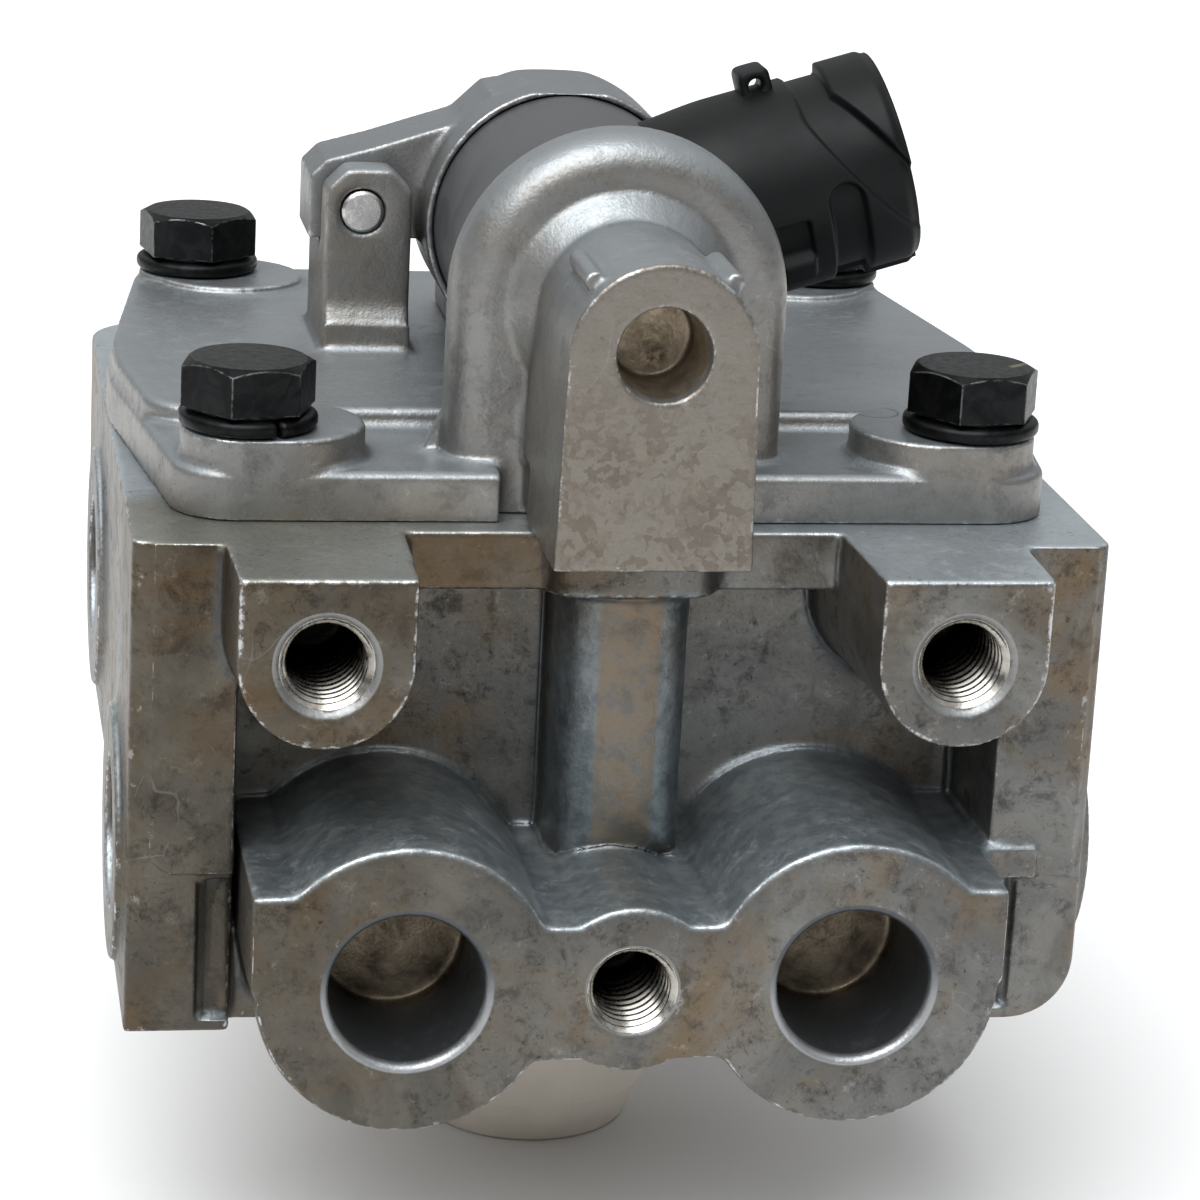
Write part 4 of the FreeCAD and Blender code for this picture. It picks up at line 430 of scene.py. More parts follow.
# %% The plug socket's outside
SOCKET_LEAN = math.radians(17)
SOCKET_BASE = np.array([0, -11.4, 136])
SOCKET_AXIS = np.array([math.cos(SOCKET_LEAN), 0, math.sin(SOCKET_LEAN)])
SOCKET_UP = np.array([-math.sin(SOCKET_LEAN), 0, math.cos(SOCKET_LEAN)])
MOUTH, BORE_FLOOR, SOCKET_START = 46.5, 28.5, 9


def step(value, edge, width):
    """0 below an edge, 1 above it, and a smooth rise between."""
    share = np.clip((value - edge) / width + 0.5, 0, 1)
    return share * share * (3 - 2 * share)


def socket_radius(angle, place):
    """Barrel + sleeve to its slanted edge + wedge beyond its own - slot - recess + latch - rim, in mm."""
    turn = (angle + 12) % 180
    sleeve_edge = 34 + 12.5 * np.clip((turn - 55) / 85, 0, 1) ** 1.35
    wedge_edge = 38.8 + 7.7 * np.clip((turn - 45) / 52, 0, 1)
    sleeve = step(place, 17, 12) * (1 - step(place, sleeve_edge, 0.5))
    wedge = step(place, wedge_edge, 0.5) * (1 - step(turn, 98, 3)) * step(turn, 1.5, 3)
    slot_end = np.clip(107 - turn, 0, None) * 0.244
    slot = step(2.5 - np.hypot(place - 36.6, slot_end), 0, 0.5)
    across = step(place, 26, 0.4) * (1 - step(place, 30.8, 0.4))
    recess = across * step(turn, 112, 2) * (1 - step(turn, 134, 2))
    latch = across * step(turn, 136, 2) * (1 - step(turn, 151, 2))
    mouth = step(place, MOUTH - 0.9, 1.2)
    return 13.95 + 0.8 * sleeve + 1.5 * wedge - 1.5 * slot - 1.2 * recess + 0.9 * latch - 0.5 * mouth


def socket_points(angle, place, reach):
    """Points of the leaning socket: base + along its axis + reach x (up and toward the front)."""
    front = np.array([0, -1, 0])
    turn = np.radians(angle)
    side = np.cos(turn)[..., None] * SOCKET_UP + np.sin(turn)[..., None] * front
    return (SOCKET_BASE + place[..., None] * SOCKET_AXIS + reach[..., None] * side) * MM


def plug_socket():
    """A closed skin: the modelled outside, the rim, the bore's wall and its floor, down to a small disc."""
    angle = np.linspace(0, 360, 361)[:-1]
    outside = np.linspace(SOCKET_START, MOUTH, 150)
    place, turn = np.meshgrid(outside, angle, indexing="ij")
    reach = socket_radius(turn, place)
    inner_place = np.array([MOUTH, MOUTH - 0.5, 40, 34, BORE_FLOOR + 0.4, BORE_FLOOR, BORE_FLOOR])
    inner_reach = np.array([12.3, 11.6, 11.6, 11.6, 11.6, 11.1, 0.2])
    place = np.concatenate([place, np.repeat(inner_place[:, None], len(angle), 1)])
    reach = np.concatenate([reach, np.repeat(inner_reach[:, None], len(angle), 1)])
    turn = np.repeat(angle[None, :], len(place), 0)
    rows, columns = place.shape
    faces = grid_faces(rows, columns, closed_columns=True).tolist()
    faces.append(list(range(columns)))
    faces.append([(rows - 1) * columns + column for column in range(columns)])
    piece = solid_from("plug_socket", socket_points(turn, place, reach), faces)
    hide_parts("connector_socket")
    return piece


TAB_PLACE, TAB_REACH, TAB_HOLE, TAB_HALF, TAB_EDGE = 29.65, 15.35, 1.1, 2.9, 0.3


def socket_tab():
    """A plate with an eye: rounded square and circle over one angle, at depths that go round the section."""
    turn = np.linspace(0, 2 * np.pi, 65)[None, :-1]
    wave, rise = np.cos(turn), np.sin(turn)
    square = (np.abs(wave) ** 5 + np.abs(rise) ** 5) ** (-1 / 5)
    shoulder = TAB_HALF - TAB_EDGE
    depth = np.array([-TAB_HALF, -TAB_HALF, -shoulder, shoulder, TAB_HALF, TAB_HALF])[:, None]
    inset = np.array([0, 0.75, 1, 1, 0.75, 0])[:, None]
    solid = inset > 0
    along = np.where(solid, (2.0 + 0.25 * inset) * square, TAB_HOLE) * wave
    outward = np.where(solid, (2.1 + 0.25 * inset) * square, TAB_HOLE) * rise
    points = (SOCKET_BASE + (TAB_PLACE + along)[..., None] * SOCKET_AXIS
              + (TAB_REACH + outward)[..., None] * SOCKET_UP
              + (depth + 0 * turn)[..., None] * np.array([0, 1, 0])) * MM
    faces = grid_faces(len(points), points.shape[1], closed_rows=True, closed_columns=True).tolist()
    piece = solid_from("socket_tab", points, faces)
    return piece


socket, tab = plug_socket(), socket_tab()
print("socket:", len(socket.data.polygons), "faces, tab:", len(tab.data.polygons))

# %% [markdown]
# ## Materials
# Each finish is a node tree. A small helper class keeps the trees readable: every method adds one node and
# returns the socket that carries its result. Patterns are laid out in object coordinates, in metres, so
# a scale of 400 gives features of about 2.5 mm.

# %% A helper for node trees
class Finish:
    """One material and the nodes that make it."""

    def __init__(self, name, metallic=0.0, specular=0.5):
        self.material = bpy.data.materials.new(name)
        self.material.use_nodes = True
        self.tree = self.material.node_tree
        self.shader = self.tree.nodes["Principled BSDF"]
        self.shader.inputs["Metallic"].default_value = metallic
        self.shader.inputs["Specular IOR Level"].default_value = specular
        self.place = self.add("ShaderNodeTexCoord").outputs["Object"]

    def add(self, kind, inputs=(), **settings):
        """Add a node, set its properties, and give its inputs values or links."""
        node = self.tree.nodes.new(kind)
        for name, value in settings.items():
            setattr(node, name, value)
        for name, value in dict(inputs).items():
            self.give(node.inputs[name], value)
        return node

    def give(self, socket, value):
        """Link another node's socket, or set a plain value; a colour of three numbers is opaque."""
        if isinstance(value, bpy.types.NodeSocket):
            self.tree.links.new(value, socket)
        elif socket.type == "RGBA":
            socket.default_value = (*value, 1)
        else:
            socket.default_value = value

    def noise(self, scale, detail=4.0, roughness=0.55, distortion=0.0, place=None):
        """A cloudy pattern from 0 to 1."""
        inputs = {"Vector": place or self.place, "Scale": scale, "Detail": detail, "Roughness": roughness,
                  "Distortion": distortion}
        return self.add("ShaderNodeTexNoise", inputs).outputs["Fac"]

    def cells(self, scale, output="Distance", feature="F1", place=None):
        """A pattern of cells: the distance to the nearest centre or wall, or each cell's own colour."""
        inputs = {"Vector": place or self.place, "Scale": scale}
        return self.add("ShaderNodeTexVoronoi", inputs, feature=feature).outputs[output]

    def spread(self, value, low, high, start=0.0, end=1.0):
        """Map a stretch of values smoothly onto another."""
        inputs = {"Value": value, "From Min": low, "From Max": high, "To Min": start, "To Max": end}
        return self.add("ShaderNodeMapRange", inputs, interpolation_type="SMOOTHSTEP").outputs["Result"]

    def math(self, operation, first, second=0.0):
        """One sum, product or other step of arithmetic."""
        return self.add("ShaderNodeMath", {0: first, 1: second}, operation=operation).outputs[0]

    def vector(self, operation, first, second, output="Vector"):
        """One step of arithmetic with directions or places."""
        return self.add("ShaderNodeVectorMath", {0: first, 1: second}, operation=operation).outputs[output]

    def product(self, *values):
        """The product of several shares."""
        result = values[0]
        for value in values[1:]:
            result = self.math("MULTIPLY", result, value)
        return result

    def mix(self, share, first, second, blend="MIX"):
        """Mix two colours by a share."""
        node = self.add("ShaderNodeMix", data_type="RGBA", blend_type=blend)
        colours = [socket for socket in node.inputs if socket.type == "RGBA"]
        self.give(node.inputs[0], share)
        self.give(colours[0], first)
        self.give(colours[1], second)
        return next(socket for socket in node.outputs if socket.type == "RGBA")

    def warped(self, scale, reach):
        """The place, shifted by a cloudy pattern, so that what is drawn on it wanders."""
        drift = self.add("ShaderNodeTexNoise", {"Vector": self.place, "Scale": scale}).outputs["Color"]
        drift = self.vector("SUBTRACT", drift, (0.5, 0.5, 0.5))
        return self.vector("ADD", self.place, self.vector("MULTIPLY", drift, (reach, reach, reach)))

    def coordinate(self, letter):
        """The place's X, Y or Z, in metres."""
        return self.add("ShaderNodeSeparateXYZ", {0: self.place}).outputs[letter]

    def away(self, centre, axes):
        """The distance from a centre, in metres, over the axes that are 1."""
        return self.vector("DISTANCE", self.vector("MULTIPLY", self.place, axes), centre, "Value")

    def near_axis(self, x, z, radius, soft=0.3):
        """1 within a radius of a line along Y, in mm."""
        distance = self.away((x * MM, 0, z * MM), (1, 0, 1))
        return self.spread(distance, (radius + soft) * MM, (radius - soft) * MM)

    def facing_up(self):
        """1 on faces that look up, 0 on those that look sideways or down."""
        normal = self.add("ShaderNodeNewGeometry").outputs["Normal"]
        height = self.add("ShaderNodeSeparateXYZ", {0: normal}).outputs["Z"]
        return self.spread(height, 0.1, 0.8)

    def kept(self, name):
        """A number that the mesh keeps at its points."""
        return self.add("ShaderNodeAttribute", attribute_name=name).outputs["Fac"]

    def rounded(self, radius):
        """The normal as if edges were rounded by a radius."""
        return self.add("ShaderNodeBevel", {"Radius": radius}, samples=4).outputs[0]

    def edges(self, radius):
        """1 on edges, where a rounded normal leaves the true one."""
        true_normal = self.add("ShaderNodeNewGeometry").outputs["Normal"]
        match = self.vector("DOT_PRODUCT", self.rounded(radius), true_normal, "Value")
        return self.spread(match, 0.99, 0.86)

    def bump(self, height, depth, normal=None):
        """Raise the surface by a pattern times a depth in metres."""
        node = self.add("ShaderNodeBump", {"Height": height, "Distance": depth, "Strength": 1.0})
        if normal is not None:
            self.give(node.inputs["Normal"], normal)
        return node.outputs["Normal"]

    def finish(self, colour, roughness, normal=None):
        """Give the shader its colour, roughness and normal."""
        self.give(self.shader.inputs["Base Color"], colour)
        self.give(self.shader.inputs["Roughness"], roughness)
        if normal is not None:
            self.give(self.shader.inputs["Normal"], normal)
        return self.material


# %% Cast aluminium
def cast_tones(paint, top, side, stain, stain_share, dirt):
    """The alloy's colour: a painted sky reflection makes tops light and cool, and painted shade with a warm
    reflection makes sides dark and warm, with brown patches, mottling, specks and flecks.
    """
    up = paint.facing_up()
    sides = paint.math("SUBTRACT", 1.0, up)
    # Painted light: the top tone is a painted sky reflection, and the side tone is painted shade with a
    # painted warm reflection.
    colour = paint.mix(up, side, top)
    smoke = paint.spread(paint.noise(48, 6, 0.66, 0.8), 0.36, 0.66)
    smoke = paint.product(smoke, dirt, paint.spread(sides, 0, 1, 0.3, 0.8))
    colour = paint.mix(smoke, colour, (0.54, 0.55, 0.57), "MULTIPLY")
    brown = paint.spread(paint.noise(36, 7, 0.66, 0.5), 0.44, 0.64)
    colour = paint.mix(paint.product(brown, stain_share, sides), colour, stain)
    mottle = paint.spread(paint.noise(240, 9, 0.8, 0.3), 0.48, 0.64)
    patchy = paint.spread(paint.noise(80, 3, 0.5), 0.38, 0.6, 0.35 * dirt, dirt)
    dark = paint.product(mottle, patchy, paint.spread(sides, 0, 1, 0.25, 0.8))
    colour = paint.mix(dark, colour, (0.42, 0.42, 0.43), "MULTIPLY")
    pores = paint.spread(paint.noise(1100, 4, 0.6), 0.6, 0.72)
    colour = paint.mix(paint.product(pores, patchy, 0.7), colour, (0.25, 0.24, 0.23), "MULTIPLY")
    bloom = paint.spread(paint.noise(330, 8, 0.85, 0.3), 0.57, 0.68)
    light = paint.mix(0.45, colour, (0.6, 0.6, 0.59))
    return paint.mix(paint.product(bloom, 0.5), colour, light), mottle


def scratches(paint):
    """Thin wandering lines, in a few places only."""
    walls = paint.cells(105, feature="DISTANCE_TO_EDGE", place=paint.warped(90, 0.01))
    line = paint.spread(walls, 0.009, 0.003)
    return paint.product(line, paint.spread(paint.noise(70, 2), 0.6, 0.68))


def cast_alloy(name, top, side, stain, stain_share, dirt, places=None, holes=None):
    """Grey metal with warm stains and dark flecks on its sides, painted shade in its corners, and bright
    edges that are partly wear and partly painted highlight.
    """
    paint = Finish(name, metallic=0.85)
    colour, mottle = cast_tones(paint, top, side, stain, stain_share, dirt)
    if places is not None:
        colour = places(paint, colour)
    # Painted shade: inside corners and fillets darken to a dark blue-grey.
    corner_shade = paint.spread(paint.kept("hollow"), 0.05, 0.75)
    colour = paint.mix(paint.product(corner_shade, 0.6), colour, (0.085, 0.098, 0.112))
    ragged = paint.spread(paint.noise(420, 4, 0.75), 0.34, 0.66, 0.4, 1.2)
    # The bright edges are partly wear and partly painted highlight.
    edge_wear_and_highlight = paint.spread(paint.math("MULTIPLY", paint.kept("edge"), ragged), 0.085, 0.17)
    chipped = paint.spread(paint.noise(260, 5, 0.7), 0.6, 0.68)
    chips = paint.product(paint.spread(paint.kept("edge"), 0.004, 0.05), chipped, 0.45)
    mark = paint.math("MAXIMUM", edge_wear_and_highlight, paint.math("MAXIMUM", chips, paint.product(scratches(paint), 0.13)))
    colour = paint.mix(paint.product(mark, 0.68), colour, (0.66, 0.67, 0.68))
    if holes is not None:
        colour = holes(paint, colour)
    grain = paint.noise(2400, 3, 0.6)
    fine = paint.spread(grain, 0.3, 0.7, -0.04, 0.05)
    rough = paint.math("ADD", paint.spread(mottle, 0, 1, 0.42, 0.56), fine)
    rough = paint.math("SUBTRACT", rough, paint.product(mark, 0.14))
    coarse = paint.bump(paint.noise(300, 4, 0.65), 0.00012)
    return paint.finish(colour, rough, paint.bump(grain, 0.000025, coarse))


# %% What the body shows in certain places
# Each place is a stretch of X, Y or Z in metres, over which a tone sets in.
LEFT_SIDE, LEFT_DEPTH = (0.03, -0.055), (-0.040, -0.050)
HOLLOW_TOP, HOLLOW_DEPTH = (0.096, 0.088), (-0.046, -0.050)
RIB_MIDDLE, RIB_SIDE, RIB_FACE = 0.0012, (0.0095, 0.0086), (0.0046, 0.0036)
RIB_FOOT, RIB_HEAD, RIB_DEPTH = (0.062, 0.066), (0.1015, 0.0995), (-0.050, -0.053)
UPPER_WALLS, UPPER_DEPTH = (0.080, 0.104), (-0.02, -0.05)
# Painted light in the front hollow: the barrels' upward faces get a bluish sky reflection dimmed by shade.
SKY_REFLECTION_DARK, SKY_REFLECTION_LIGHT = (0.24, 0.28, 0.30), (0.41, 0.45, 0.47)
# Painted light on the rib: bluish shade on its sides and a brown band on its front stand in for the shading
# of a rounder rib.
RIB_SHADE_DARK, RIB_SHADE_LIGHT, RIB_FACE_SHADING = (0.12, 0.145, 0.16), (0.26, 0.295, 0.315), (0.195, 0.155, 0.112)


def body_places(paint, colour):
    """Painted sky reflection and shade on the barrels' tops in the front hollow, painted shading on the rib
    there, and a browner left side.
    """
    x, y, z = (paint.coordinate(letter) for letter in "XYZ")
    left = paint.product(paint.spread(x, *LEFT_SIDE), paint.spread(y, *LEFT_DEPTH), 0.95)
    colour = paint.mix(left, colour, (0.62, 0.56, 0.47), "MULTIPLY")
    hollow = paint.product(paint.spread(z, *HOLLOW_TOP), paint.spread(y, *HOLLOW_DEPTH))
    # Painted sky reflection and shade on upward faces in the front hollow.
    raw = paint.product(paint.facing_up(), hollow, 0.9)
    cloud = paint.spread(paint.noise(300, 7, 0.7, 0.1), 0.36, 0.66)
    colour = paint.mix(raw, colour, paint.mix(cloud, SKY_REFLECTION_DARK, SKY_REFLECTION_LIGHT))
    across = paint.math("ABSOLUTE", paint.math("SUBTRACT", x, RIB_MIDDLE))
    # Painted shading of the rib: dark bluish sides and a brown front band.
    rib = paint.product(paint.spread(across, *RIB_SIDE), paint.spread(y, *RIB_DEPTH),
                        paint.spread(z, *RIB_FOOT), paint.spread(z, *RIB_HEAD))
    colour = paint.mix(paint.product(rib, 0.7), colour, paint.mix(cloud, RIB_SHADE_DARK, RIB_SHADE_LIGHT))
    face = paint.product(rib, paint.spread(across, *RIB_FACE), paint.spread(cloud, 0.1, 0.7, 0.45, 0.9))
    colour = paint.mix(face, colour, RIB_FACE_SHADING)
    upright = paint.math("SUBTRACT", 1.0, paint.facing_up())
    high = paint.product(paint.spread(z, *UPPER_WALLS), paint.spread(paint.noise(60, 4), 0.35, 0.6),
                         upright, paint.spread(y, *UPPER_DEPTH, 0.3, 1.0), 0.5)
    return paint.mix(high, colour, (0.82, 0.66, 0.47), "MULTIPLY")


# %% What the body's holes show
HOLE_FRONT, PORT_INSIDE, PORT_FLOOR = (-0.052, -0.056), (-0.0836, -0.0826), (-0.0645, -0.0635)
RIM_RADIUS, RIM_FADE, THREAD_SHADE = 11.3, (0.047, 0.057), 0.001
TAPPED_HOLES = ((-41.3, 96.4, 7.0, -0.0824), (41.3, 96.4, 7.0, -0.0824), (0, 52, 6.3, -0.083))
# Rims: painted highlight below and painted shade above; port walls: painted shade.
RIM_HIGHLIGHT, RIM_SHADE, PORT_WALL_SHADE = (0.37, 0.38, 0.39), (0.085, 0.09, 0.095), (0.075, 0.085, 0.095)


def body_holes(paint, colour):
    """Painted shade on the ports' walls, brown mottled floors in the ports, turned rims with a painted
    highlight below and painted shade above, and tapped holes painted near black beyond their mouths as shade.
    """
    y, z = paint.coordinate("Y"), paint.coordinate("Z")
    inside, front = paint.spread(y, *PORT_INSIDE), paint.spread(y, *HOLE_FRONT)
    # Painted highlight on each rim's lower part, painted shade on its upper part.
    rim = paint.mix(paint.spread(z, *RIM_FADE), RIM_HIGHLIGHT, RIM_SHADE)
    cloud = paint.spread(paint.noise(190, 7, 0.7, 0.5), 0.34, 0.62)
    brown = paint.mix(cloud, (0.10, 0.08, 0.055), (0.27, 0.215, 0.15))
    for middle, height in PORTS:
        bore = paint.product(paint.near_axis(middle, height, RIM_RADIUS, 0.15), front)
        colour = paint.mix(paint.product(bore, 0.95), colour, rim)
        # Painted shade on the port's wall.
        colour = paint.mix(paint.product(bore, inside, 0.9), colour, PORT_WALL_SHADE)
        colour = paint.mix(paint.product(bore, paint.spread(y, *PORT_FLOOR)), colour, brown)
    for middle, height, radius, mouth in TAPPED_HOLES:
        hole = paint.product(paint.near_axis(middle, height, radius, 0.12), front)
        colour = paint.mix(paint.product(hole, 0.85), colour, (0.27, 0.27, 0.265))
        # Painted shade: near black beyond the hole's mouth.
        dark = paint.product(hole, paint.spread(y, mouth, mouth + THREAD_SHADE))
        colour = paint.mix(dark, colour, (0.03, 0.028, 0.025))
    return colour


# %% What the cover shows in certain places
PEDESTAL_FACE, PEDESTAL_FADE = (-0.0816, -0.0820), (0.140, 0.118)
PIN_INSIDE, PIN_BACK, PIN_DEEP, PIN_SPOT = (-0.0812, -0.080), (-0.066, -0.068), (-0.074, -0.073), (0.9, 133.8)
SCRIBE_CENTRE, SCRIBE_RADIUS, SCRIBE_LINE = (0.0383, -0.039, 0), 0.003, (0.00022, 0.0001)
SCRIBE_LOW, SCRIBE_HIGH = (0.1168, 0.117), (0.1195, 0.1193)


def cover_places(paint, colour):
    """The pedestal's spangled face, its brown hole with a dark spot, and a scribed circle on a pad."""
    y, z = paint.coordinate("Y"), paint.coordinate("Z")
    spangle = paint.cells(540, "Color", place=paint.warped(520, 0.006))
    flake = paint.spread(paint.add("ShaderNodeSeparateColor", {0: spangle}).outputs[0], 0.5, 0.72)
    blotch = paint.spread(paint.noise(330, 3, 0.5, 1.6), 0.5, 0.6)
    lower = paint.spread(z, *PEDESTAL_FADE, 0.12, 0.95)
    taupe = paint.mix(paint.product(flake, lower), (0.21, 0.19, 0.163), (0.15, 0.128, 0.105))
    taupe = paint.mix(paint.product(blotch, lower, 0.6), taupe, (0.17, 0.143, 0.115))
    freckle = paint.spread(paint.noise(900, 4, 0.7), 0.55, 0.7)
    taupe = paint.mix(paint.product(freckle, 0.4), taupe, (0.5, 0.46, 0.42), "MULTIPLY")
    colour = paint.mix(paint.product(paint.spread(y, *PEDESTAL_FACE), 0.92), colour, taupe)
    inside = paint.product(paint.spread(y, *PIN_INSIDE), paint.spread(y, *PIN_BACK))
    hole = paint.product(paint.near_axis(*PIN_HOLE, 6.6), inside, 0.85)
    cloud = paint.spread(paint.noise(260, 5, 0.65, 0.6), 0.35, 0.65)
    colour = paint.mix(hole, colour, paint.mix(cloud, (0.20, 0.155, 0.10), (0.42, 0.34, 0.24)))
    spot = paint.product(paint.near_axis(*PIN_SPOT, 1.7, 1.1), paint.spread(y, *PIN_DEEP), inside,
                         paint.spread(paint.noise(700, 4), 0.35, 0.55), 0.85)
    colour = paint.mix(spot, colour, (0.04, 0.036, 0.03))
    offset = paint.math("SUBTRACT", paint.away(SCRIBE_CENTRE, (1, 1, 0)), SCRIBE_RADIUS)
    ring = paint.product(paint.spread(paint.math("ABSOLUTE", offset), *SCRIBE_LINE),
                         paint.spread(z, *SCRIBE_LOW), paint.spread(z, *SCRIBE_HIGH), 0.75)
    return paint.mix(ring, colour, (0.09, 0.09, 0.09))


# %% The castings' finishes
def coat(piece, finish):
    """Give a piece one finish, in place of those it came with."""
    piece.data.materials.clear()
    piece.data.materials.append(finish)


# Each casting's top tone is a painted sky reflection, and its side tone is painted shade with a warm
# reflection.
body_alloy = cast_alloy("cast_alloy_body", top=(0.47, 0.515, 0.54), side=(0.185, 0.182, 0.172),
                        stain=(0.160, 0.118, 0.072), stain_share=0.8, dirt=1.0,
                        places=body_places, holes=body_holes)
cover_alloy = cast_alloy("cast_alloy_cover", top=(0.31, 0.333, 0.345), side=(0.262, 0.258, 0.248),
                         stain=(0.22, 0.185, 0.14), stain_share=0.5, dirt=0.5, places=cover_places)
cap_alloy = cast_alloy("cast_alloy_cap", top=(0.255, 0.27, 0.278), side=(0.275, 0.278, 0.275),
                       stain=(0.30, 0.28, 0.25), stain_share=0.35, dirt=0.5)
for piece, finish in ((body_skin, body_alloy), (cover_skin, cover_alloy), (cap_skin, cap_alloy)):
    coat(piece, finish)
print("castings finished")


# %% Plain metals, plastics and rubber
def worn_metal(name, light, dark, roughness, grain_scale=1500):
    """A metal with a light and a dark tone, fine grain and some wear on its edges."""
    paint = Finish(name, metallic=1.0)
    clouds = paint.noise(180, 4, 0.6, 0.4)
    grain = paint.noise(grain_scale, 3, 0.6)
    colour = paint.mix(paint.spread(clouds, 0.35, 0.65), dark, light)
    edge = paint.product(paint.edges(0.0004), paint.spread(paint.noise(500, 3, 0.6), 0.4, 0.62))
    colour = paint.mix(paint.product(edge, 0.5), colour, (0.75, 0.75, 0.74))
    rough = paint.math("ADD", roughness, paint.spread(grain, 0.2, 0.8, -0.06, 0.1))
    return paint.finish(colour, rough, paint.bump(grain, 0.00001, paint.rounded(0.0003)))


CHALK_CENTRE, CHALK_ALONG, CHALK_ACROSS = (0.0554, -0.0487, 0.1275), (0.825, 0.565, 0), (-0.565, 0.825, 0)
CHALK_LENGTH, CHALK_WIDTH, CHALK_HEIGHT = (0.0027, 0.0018), (0.0007, 0.0003), (0.1268, 0.1272)


def chalk_stroke(paint):
    """A short broken stroke across the top of the front right bolt head."""
    shift = paint.vector("SUBTRACT", paint.place, CHALK_CENTRE)
    along = paint.math("ABSOLUTE", paint.vector("DOT_PRODUCT", shift, CHALK_ALONG, "Value"))
    across = paint.math("ABSOLUTE", paint.vector("DOT_PRODUCT", shift, CHALK_ACROSS, "Value"))
    return paint.product(paint.spread(along, *CHALK_LENGTH), paint.spread(across, *CHALK_WIDTH),
                         paint.spread(paint.coordinate("Z"), *CHALK_HEIGHT),
                         paint.spread(paint.noise(1300, 3), 0.38, 0.5))


def black_oxide(name):
    """Satin black steel with thin bright edges, and a faint stroke of yellow chalk on one bolt head."""
    paint = Finish(name, metallic=1.0)
    grain = paint.noise(900, 3, 0.6)
    clouds = paint.spread(paint.noise(260, 5, 0.65, 0.8), 0.35, 0.65)
    colour = paint.mix(clouds, (0.011, 0.0115, 0.012), (0.021, 0.0215, 0.022))
    edge = paint.product(paint.edges(0.00035), paint.spread(paint.noise(600, 3, 0.6), 0.4, 0.6), 0.6)
    colour = paint.mix(edge, colour, (0.5, 0.5, 0.5))
    colour = paint.mix(paint.product(chalk_stroke(paint), 0.7), colour, (0.36, 0.33, 0.17))
    rough = paint.math("ADD", paint.spread(grain, 0.2, 0.8, 0.33, 0.46), paint.product(clouds, 0.05))
    return paint.finish(colour, rough, paint.bump(grain, 0.000006, paint.rounded(0.0003)))


PALEST = 0.9


def moulded(name, light, dark, roughness, grain_depth=0.000015, specular=0.5):
    """Plastic or rubber with a faint grain, dust and scuffs, which are paler than its light tone."""
    paint = Finish(name, specular=specular)
    clouds = paint.noise(90, 4, 0.6, 0.3)
    grain = paint.noise(2200, 2, 0.5)
    dust = paint.spread(paint.noise(420, 5, 0.7), 0.6, 0.75)
    colour = paint.mix(paint.spread(clouds, 0.35, 0.65), dark, light)
    dusty = tuple(min(2.5 * channel + 0.02, PALEST) for channel in light)
    scuffed = tuple(min(2 * channel + 0.03, PALEST) for channel in light)
    colour = paint.mix(paint.product(dust, 0.1), colour, dusty)
    colour = paint.mix(paint.product(paint.edges(0.0005), 0.2), colour, scuffed)
    rough = paint.math("ADD", roughness, paint.spread(clouds, 0.3, 0.7, -0.05, 0.08))
    return paint.finish(colour, rough, paint.bump(grain, grain_depth, paint.rounded(0.0004)))


FINISHES = {
    "bright_steel": worn_metal("bright_steel", (0.62, 0.62, 0.60), (0.50, 0.50, 0.49), 0.28),
    "solenoid_steel": moulded("solenoid_coat", (0.060, 0.062, 0.064), (0.045, 0.046, 0.048), 0.42),
    "core_iron": worn_metal("core_iron", (0.45, 0.44, 0.42), (0.36, 0.35, 0.34), 0.35),
    "bobbin_plastic": moulded("bobbin_plastic", (0.03, 0.03, 0.03), (0.02, 0.02, 0.02), 0.5),
    "copper_winding": worn_metal("copper_winding", (0.55, 0.24, 0.11), (0.42, 0.17, 0.08), 0.35),
    "brass_parts": worn_metal("turned_brass", (0.66, 0.50, 0.24), (0.52, 0.38, 0.18), 0.3),
    "connector_plastic": moulded("socket_plastic", (0.0045, 0.0058, 0.006), (0.003, 0.0038, 0.004), 0.5,
                                 specular=0.2),
    "black_oxide": black_oxide("black_oxide"),
    "plated_steel": worn_metal("plated_steel", (0.42, 0.42, 0.40), (0.34, 0.34, 0.33), 0.34),
    "piston_alloy": worn_metal("turned_alloy", (0.60, 0.60, 0.58), (0.50, 0.50, 0.49), 0.3),
    "valve_alloy": worn_metal("valve_alloy", (0.55, 0.55, 0.53), (0.46, 0.46, 0.45), 0.3),
    "seal_rubber": moulded("seal_rubber", (0.02, 0.02, 0.02), (0.012, 0.012, 0.012), 0.55),
    "silencer_plastic": moulded("silencer_plastic", (0.86, 0.79, 0.69), (0.80, 0.73, 0.64), 0.5),
    "knitted_wire": worn_metal("knitted_wire", (0.36, 0.36, 0.35), (0.16, 0.16, 0.16), 0.4, 900),
}
for piece in (socket, tab):
    coat(piece, FINISHES["connector_plastic"])
for piece in washers:
    coat(piece, FINISHES["black_oxide"])
for part in frame["record"]["subparts"]:
    finish = FINISHES.get(part["material_slot"])
    if finish is not None:
        coat(nodes[part["node"]], finish)
print("plain finishes:", len(FINISHES))

# %% Cut threads
LIT_THREAD = -0.0835, -0.0700


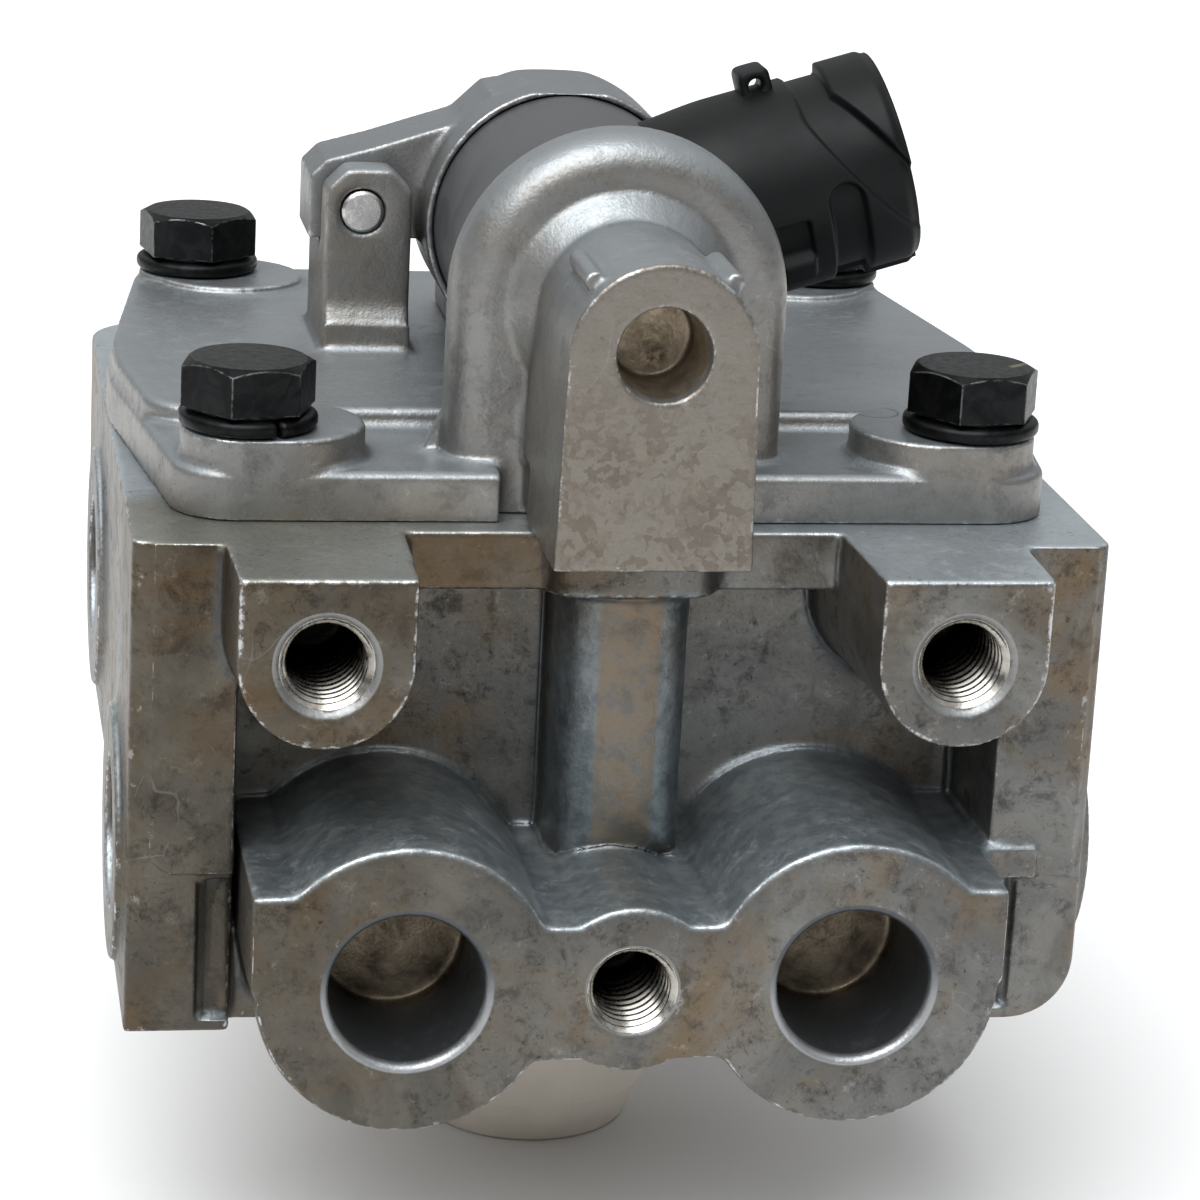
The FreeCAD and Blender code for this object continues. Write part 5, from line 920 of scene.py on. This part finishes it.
def cut_thread():
    """Bright cut metal near the mouth that turns dark with depth, as painted shade inside the hole."""
    paint = Finish("cut_thread", metallic=1.0)
    inner_shade = paint.spread(paint.coordinate("Y"), *LIT_THREAD)
    streak = paint.spread(paint.noise(800, 3, 0.6), 0.35, 0.65)
    colour = paint.mix(streak, (0.37, 0.345, 0.31), (0.54, 0.52, 0.48))
    # Painted shade: the thread darkens to near black deeper in the hole.
    return paint.finish(paint.mix(inner_shade, colour, (0.05, 0.045, 0.04)), paint.spread(streak, 0, 1, 0.22, 0.32))


thread_metal = cut_thread()
for piece in threads:
    coat(piece, thread_metal)
print("threads coated:", len(threads))

# %% [markdown]
# ## Floor and light
# The photograph shows the valve against white, lit softly from above, in a room that is dark in front of
# it: tops shine and upright faces stay deep. So the light is a broad soft sun from above, the sky is
# bright behind and dim in front, and the floor is white paper.

# %% Floor
FLOOR_RADIUS, FLOOR_DROP, FLOOR_CORNERS = 8, 0.0002, 96


def add_floor():
    """A large pale disc below the exhaust mouth."""
    angle = np.linspace(0, 2 * np.pi, FLOOR_CORNERS + 1)[:-1]
    depth = np.full(len(angle), -FLOOR_DROP)
    rim = np.stack([FLOOR_RADIUS * np.cos(angle), FLOOR_RADIUS * np.sin(angle), depth], axis=1)
    mesh = bpy.data.meshes.new("floor")
    mesh.from_pydata(rim.tolist(), [], [list(range(len(angle)))])
    floor = bpy.data.objects.new("floor", mesh)
    bpy.context.scene.collection.objects.link(floor)
    paint = Finish("floor_paper", specular=0.1)
    paint.finish(paint.mix(paint.noise(3, 3), (0.88, 0.88, 0.88), (0.91, 0.91, 0.91)), 0.9)
    mesh.materials.append(paint.material)


add_floor()
print("floor:", FLOOR_RADIUS, "m in radius")

# %% Light
SUN_WIDTH, SUN_POWER, SUN_WAY, SUN_COLOUR = 56, 3.3, (-0.34, -0.62, 1), (0.975, 0.99, 1.0)
SKY_TONES = [(0, (0.10, 0.10, 0.10)), (1, (1.5, 1.55, 1.6)), (0.4, (0.40, 0.41, 0.42))]
SKY_WAY = (-0.05, 0.25, 1)


def add_sun(name, direction, width, power, colour):
    """A broad soft sun that shines from a direction."""
    data = bpy.data.lights.new(name, "SUN")
    data.angle, data.energy, data.color = math.radians(width), power, colour
    lamp = bpy.data.objects.new(name, data)
    lamp.rotation_euler = Vector(direction).to_track_quat("Z", "Y").to_euler()
    bpy.context.scene.collection.objects.link(lamp)


def add_sky(tones, brightest_way):
    """Sky colour: a row of (place, colour) by how far a direction turns towards the brightest way."""
    world = bpy.data.worlds.new("studio")
    bpy.context.scene.world = world
    world.use_nodes = True
    tree = world.node_tree
    way = tree.nodes.new("ShaderNodeTexCoord").outputs["Generated"]
    match = tree.nodes.new("ShaderNodeVectorMath")
    match.operation = "DOT_PRODUCT"
    match.inputs[1].default_value = Vector(brightest_way).normalized()
    tree.links.new(way, match.inputs[0])
    ramp = tree.nodes.new("ShaderNodeValToRGB")
    marks = ramp.color_ramp.elements
    for mark, (place, colour) in zip([marks[0], marks[1], marks.new(0.5)], tones):
        mark.position, mark.color = place, (*colour, 1)
    tree.links.new(match.outputs["Value"], ramp.inputs[0])
    tree.links.new(ramp.outputs[0], tree.nodes["Background"].inputs["Color"])


add_sun("lamp_top", SUN_WAY, SUN_WIDTH, SUN_POWER, SUN_COLOUR)
add_sky(SKY_TONES, SKY_WAY)
bpy.context.scene.view_settings.view_transform = "Standard"
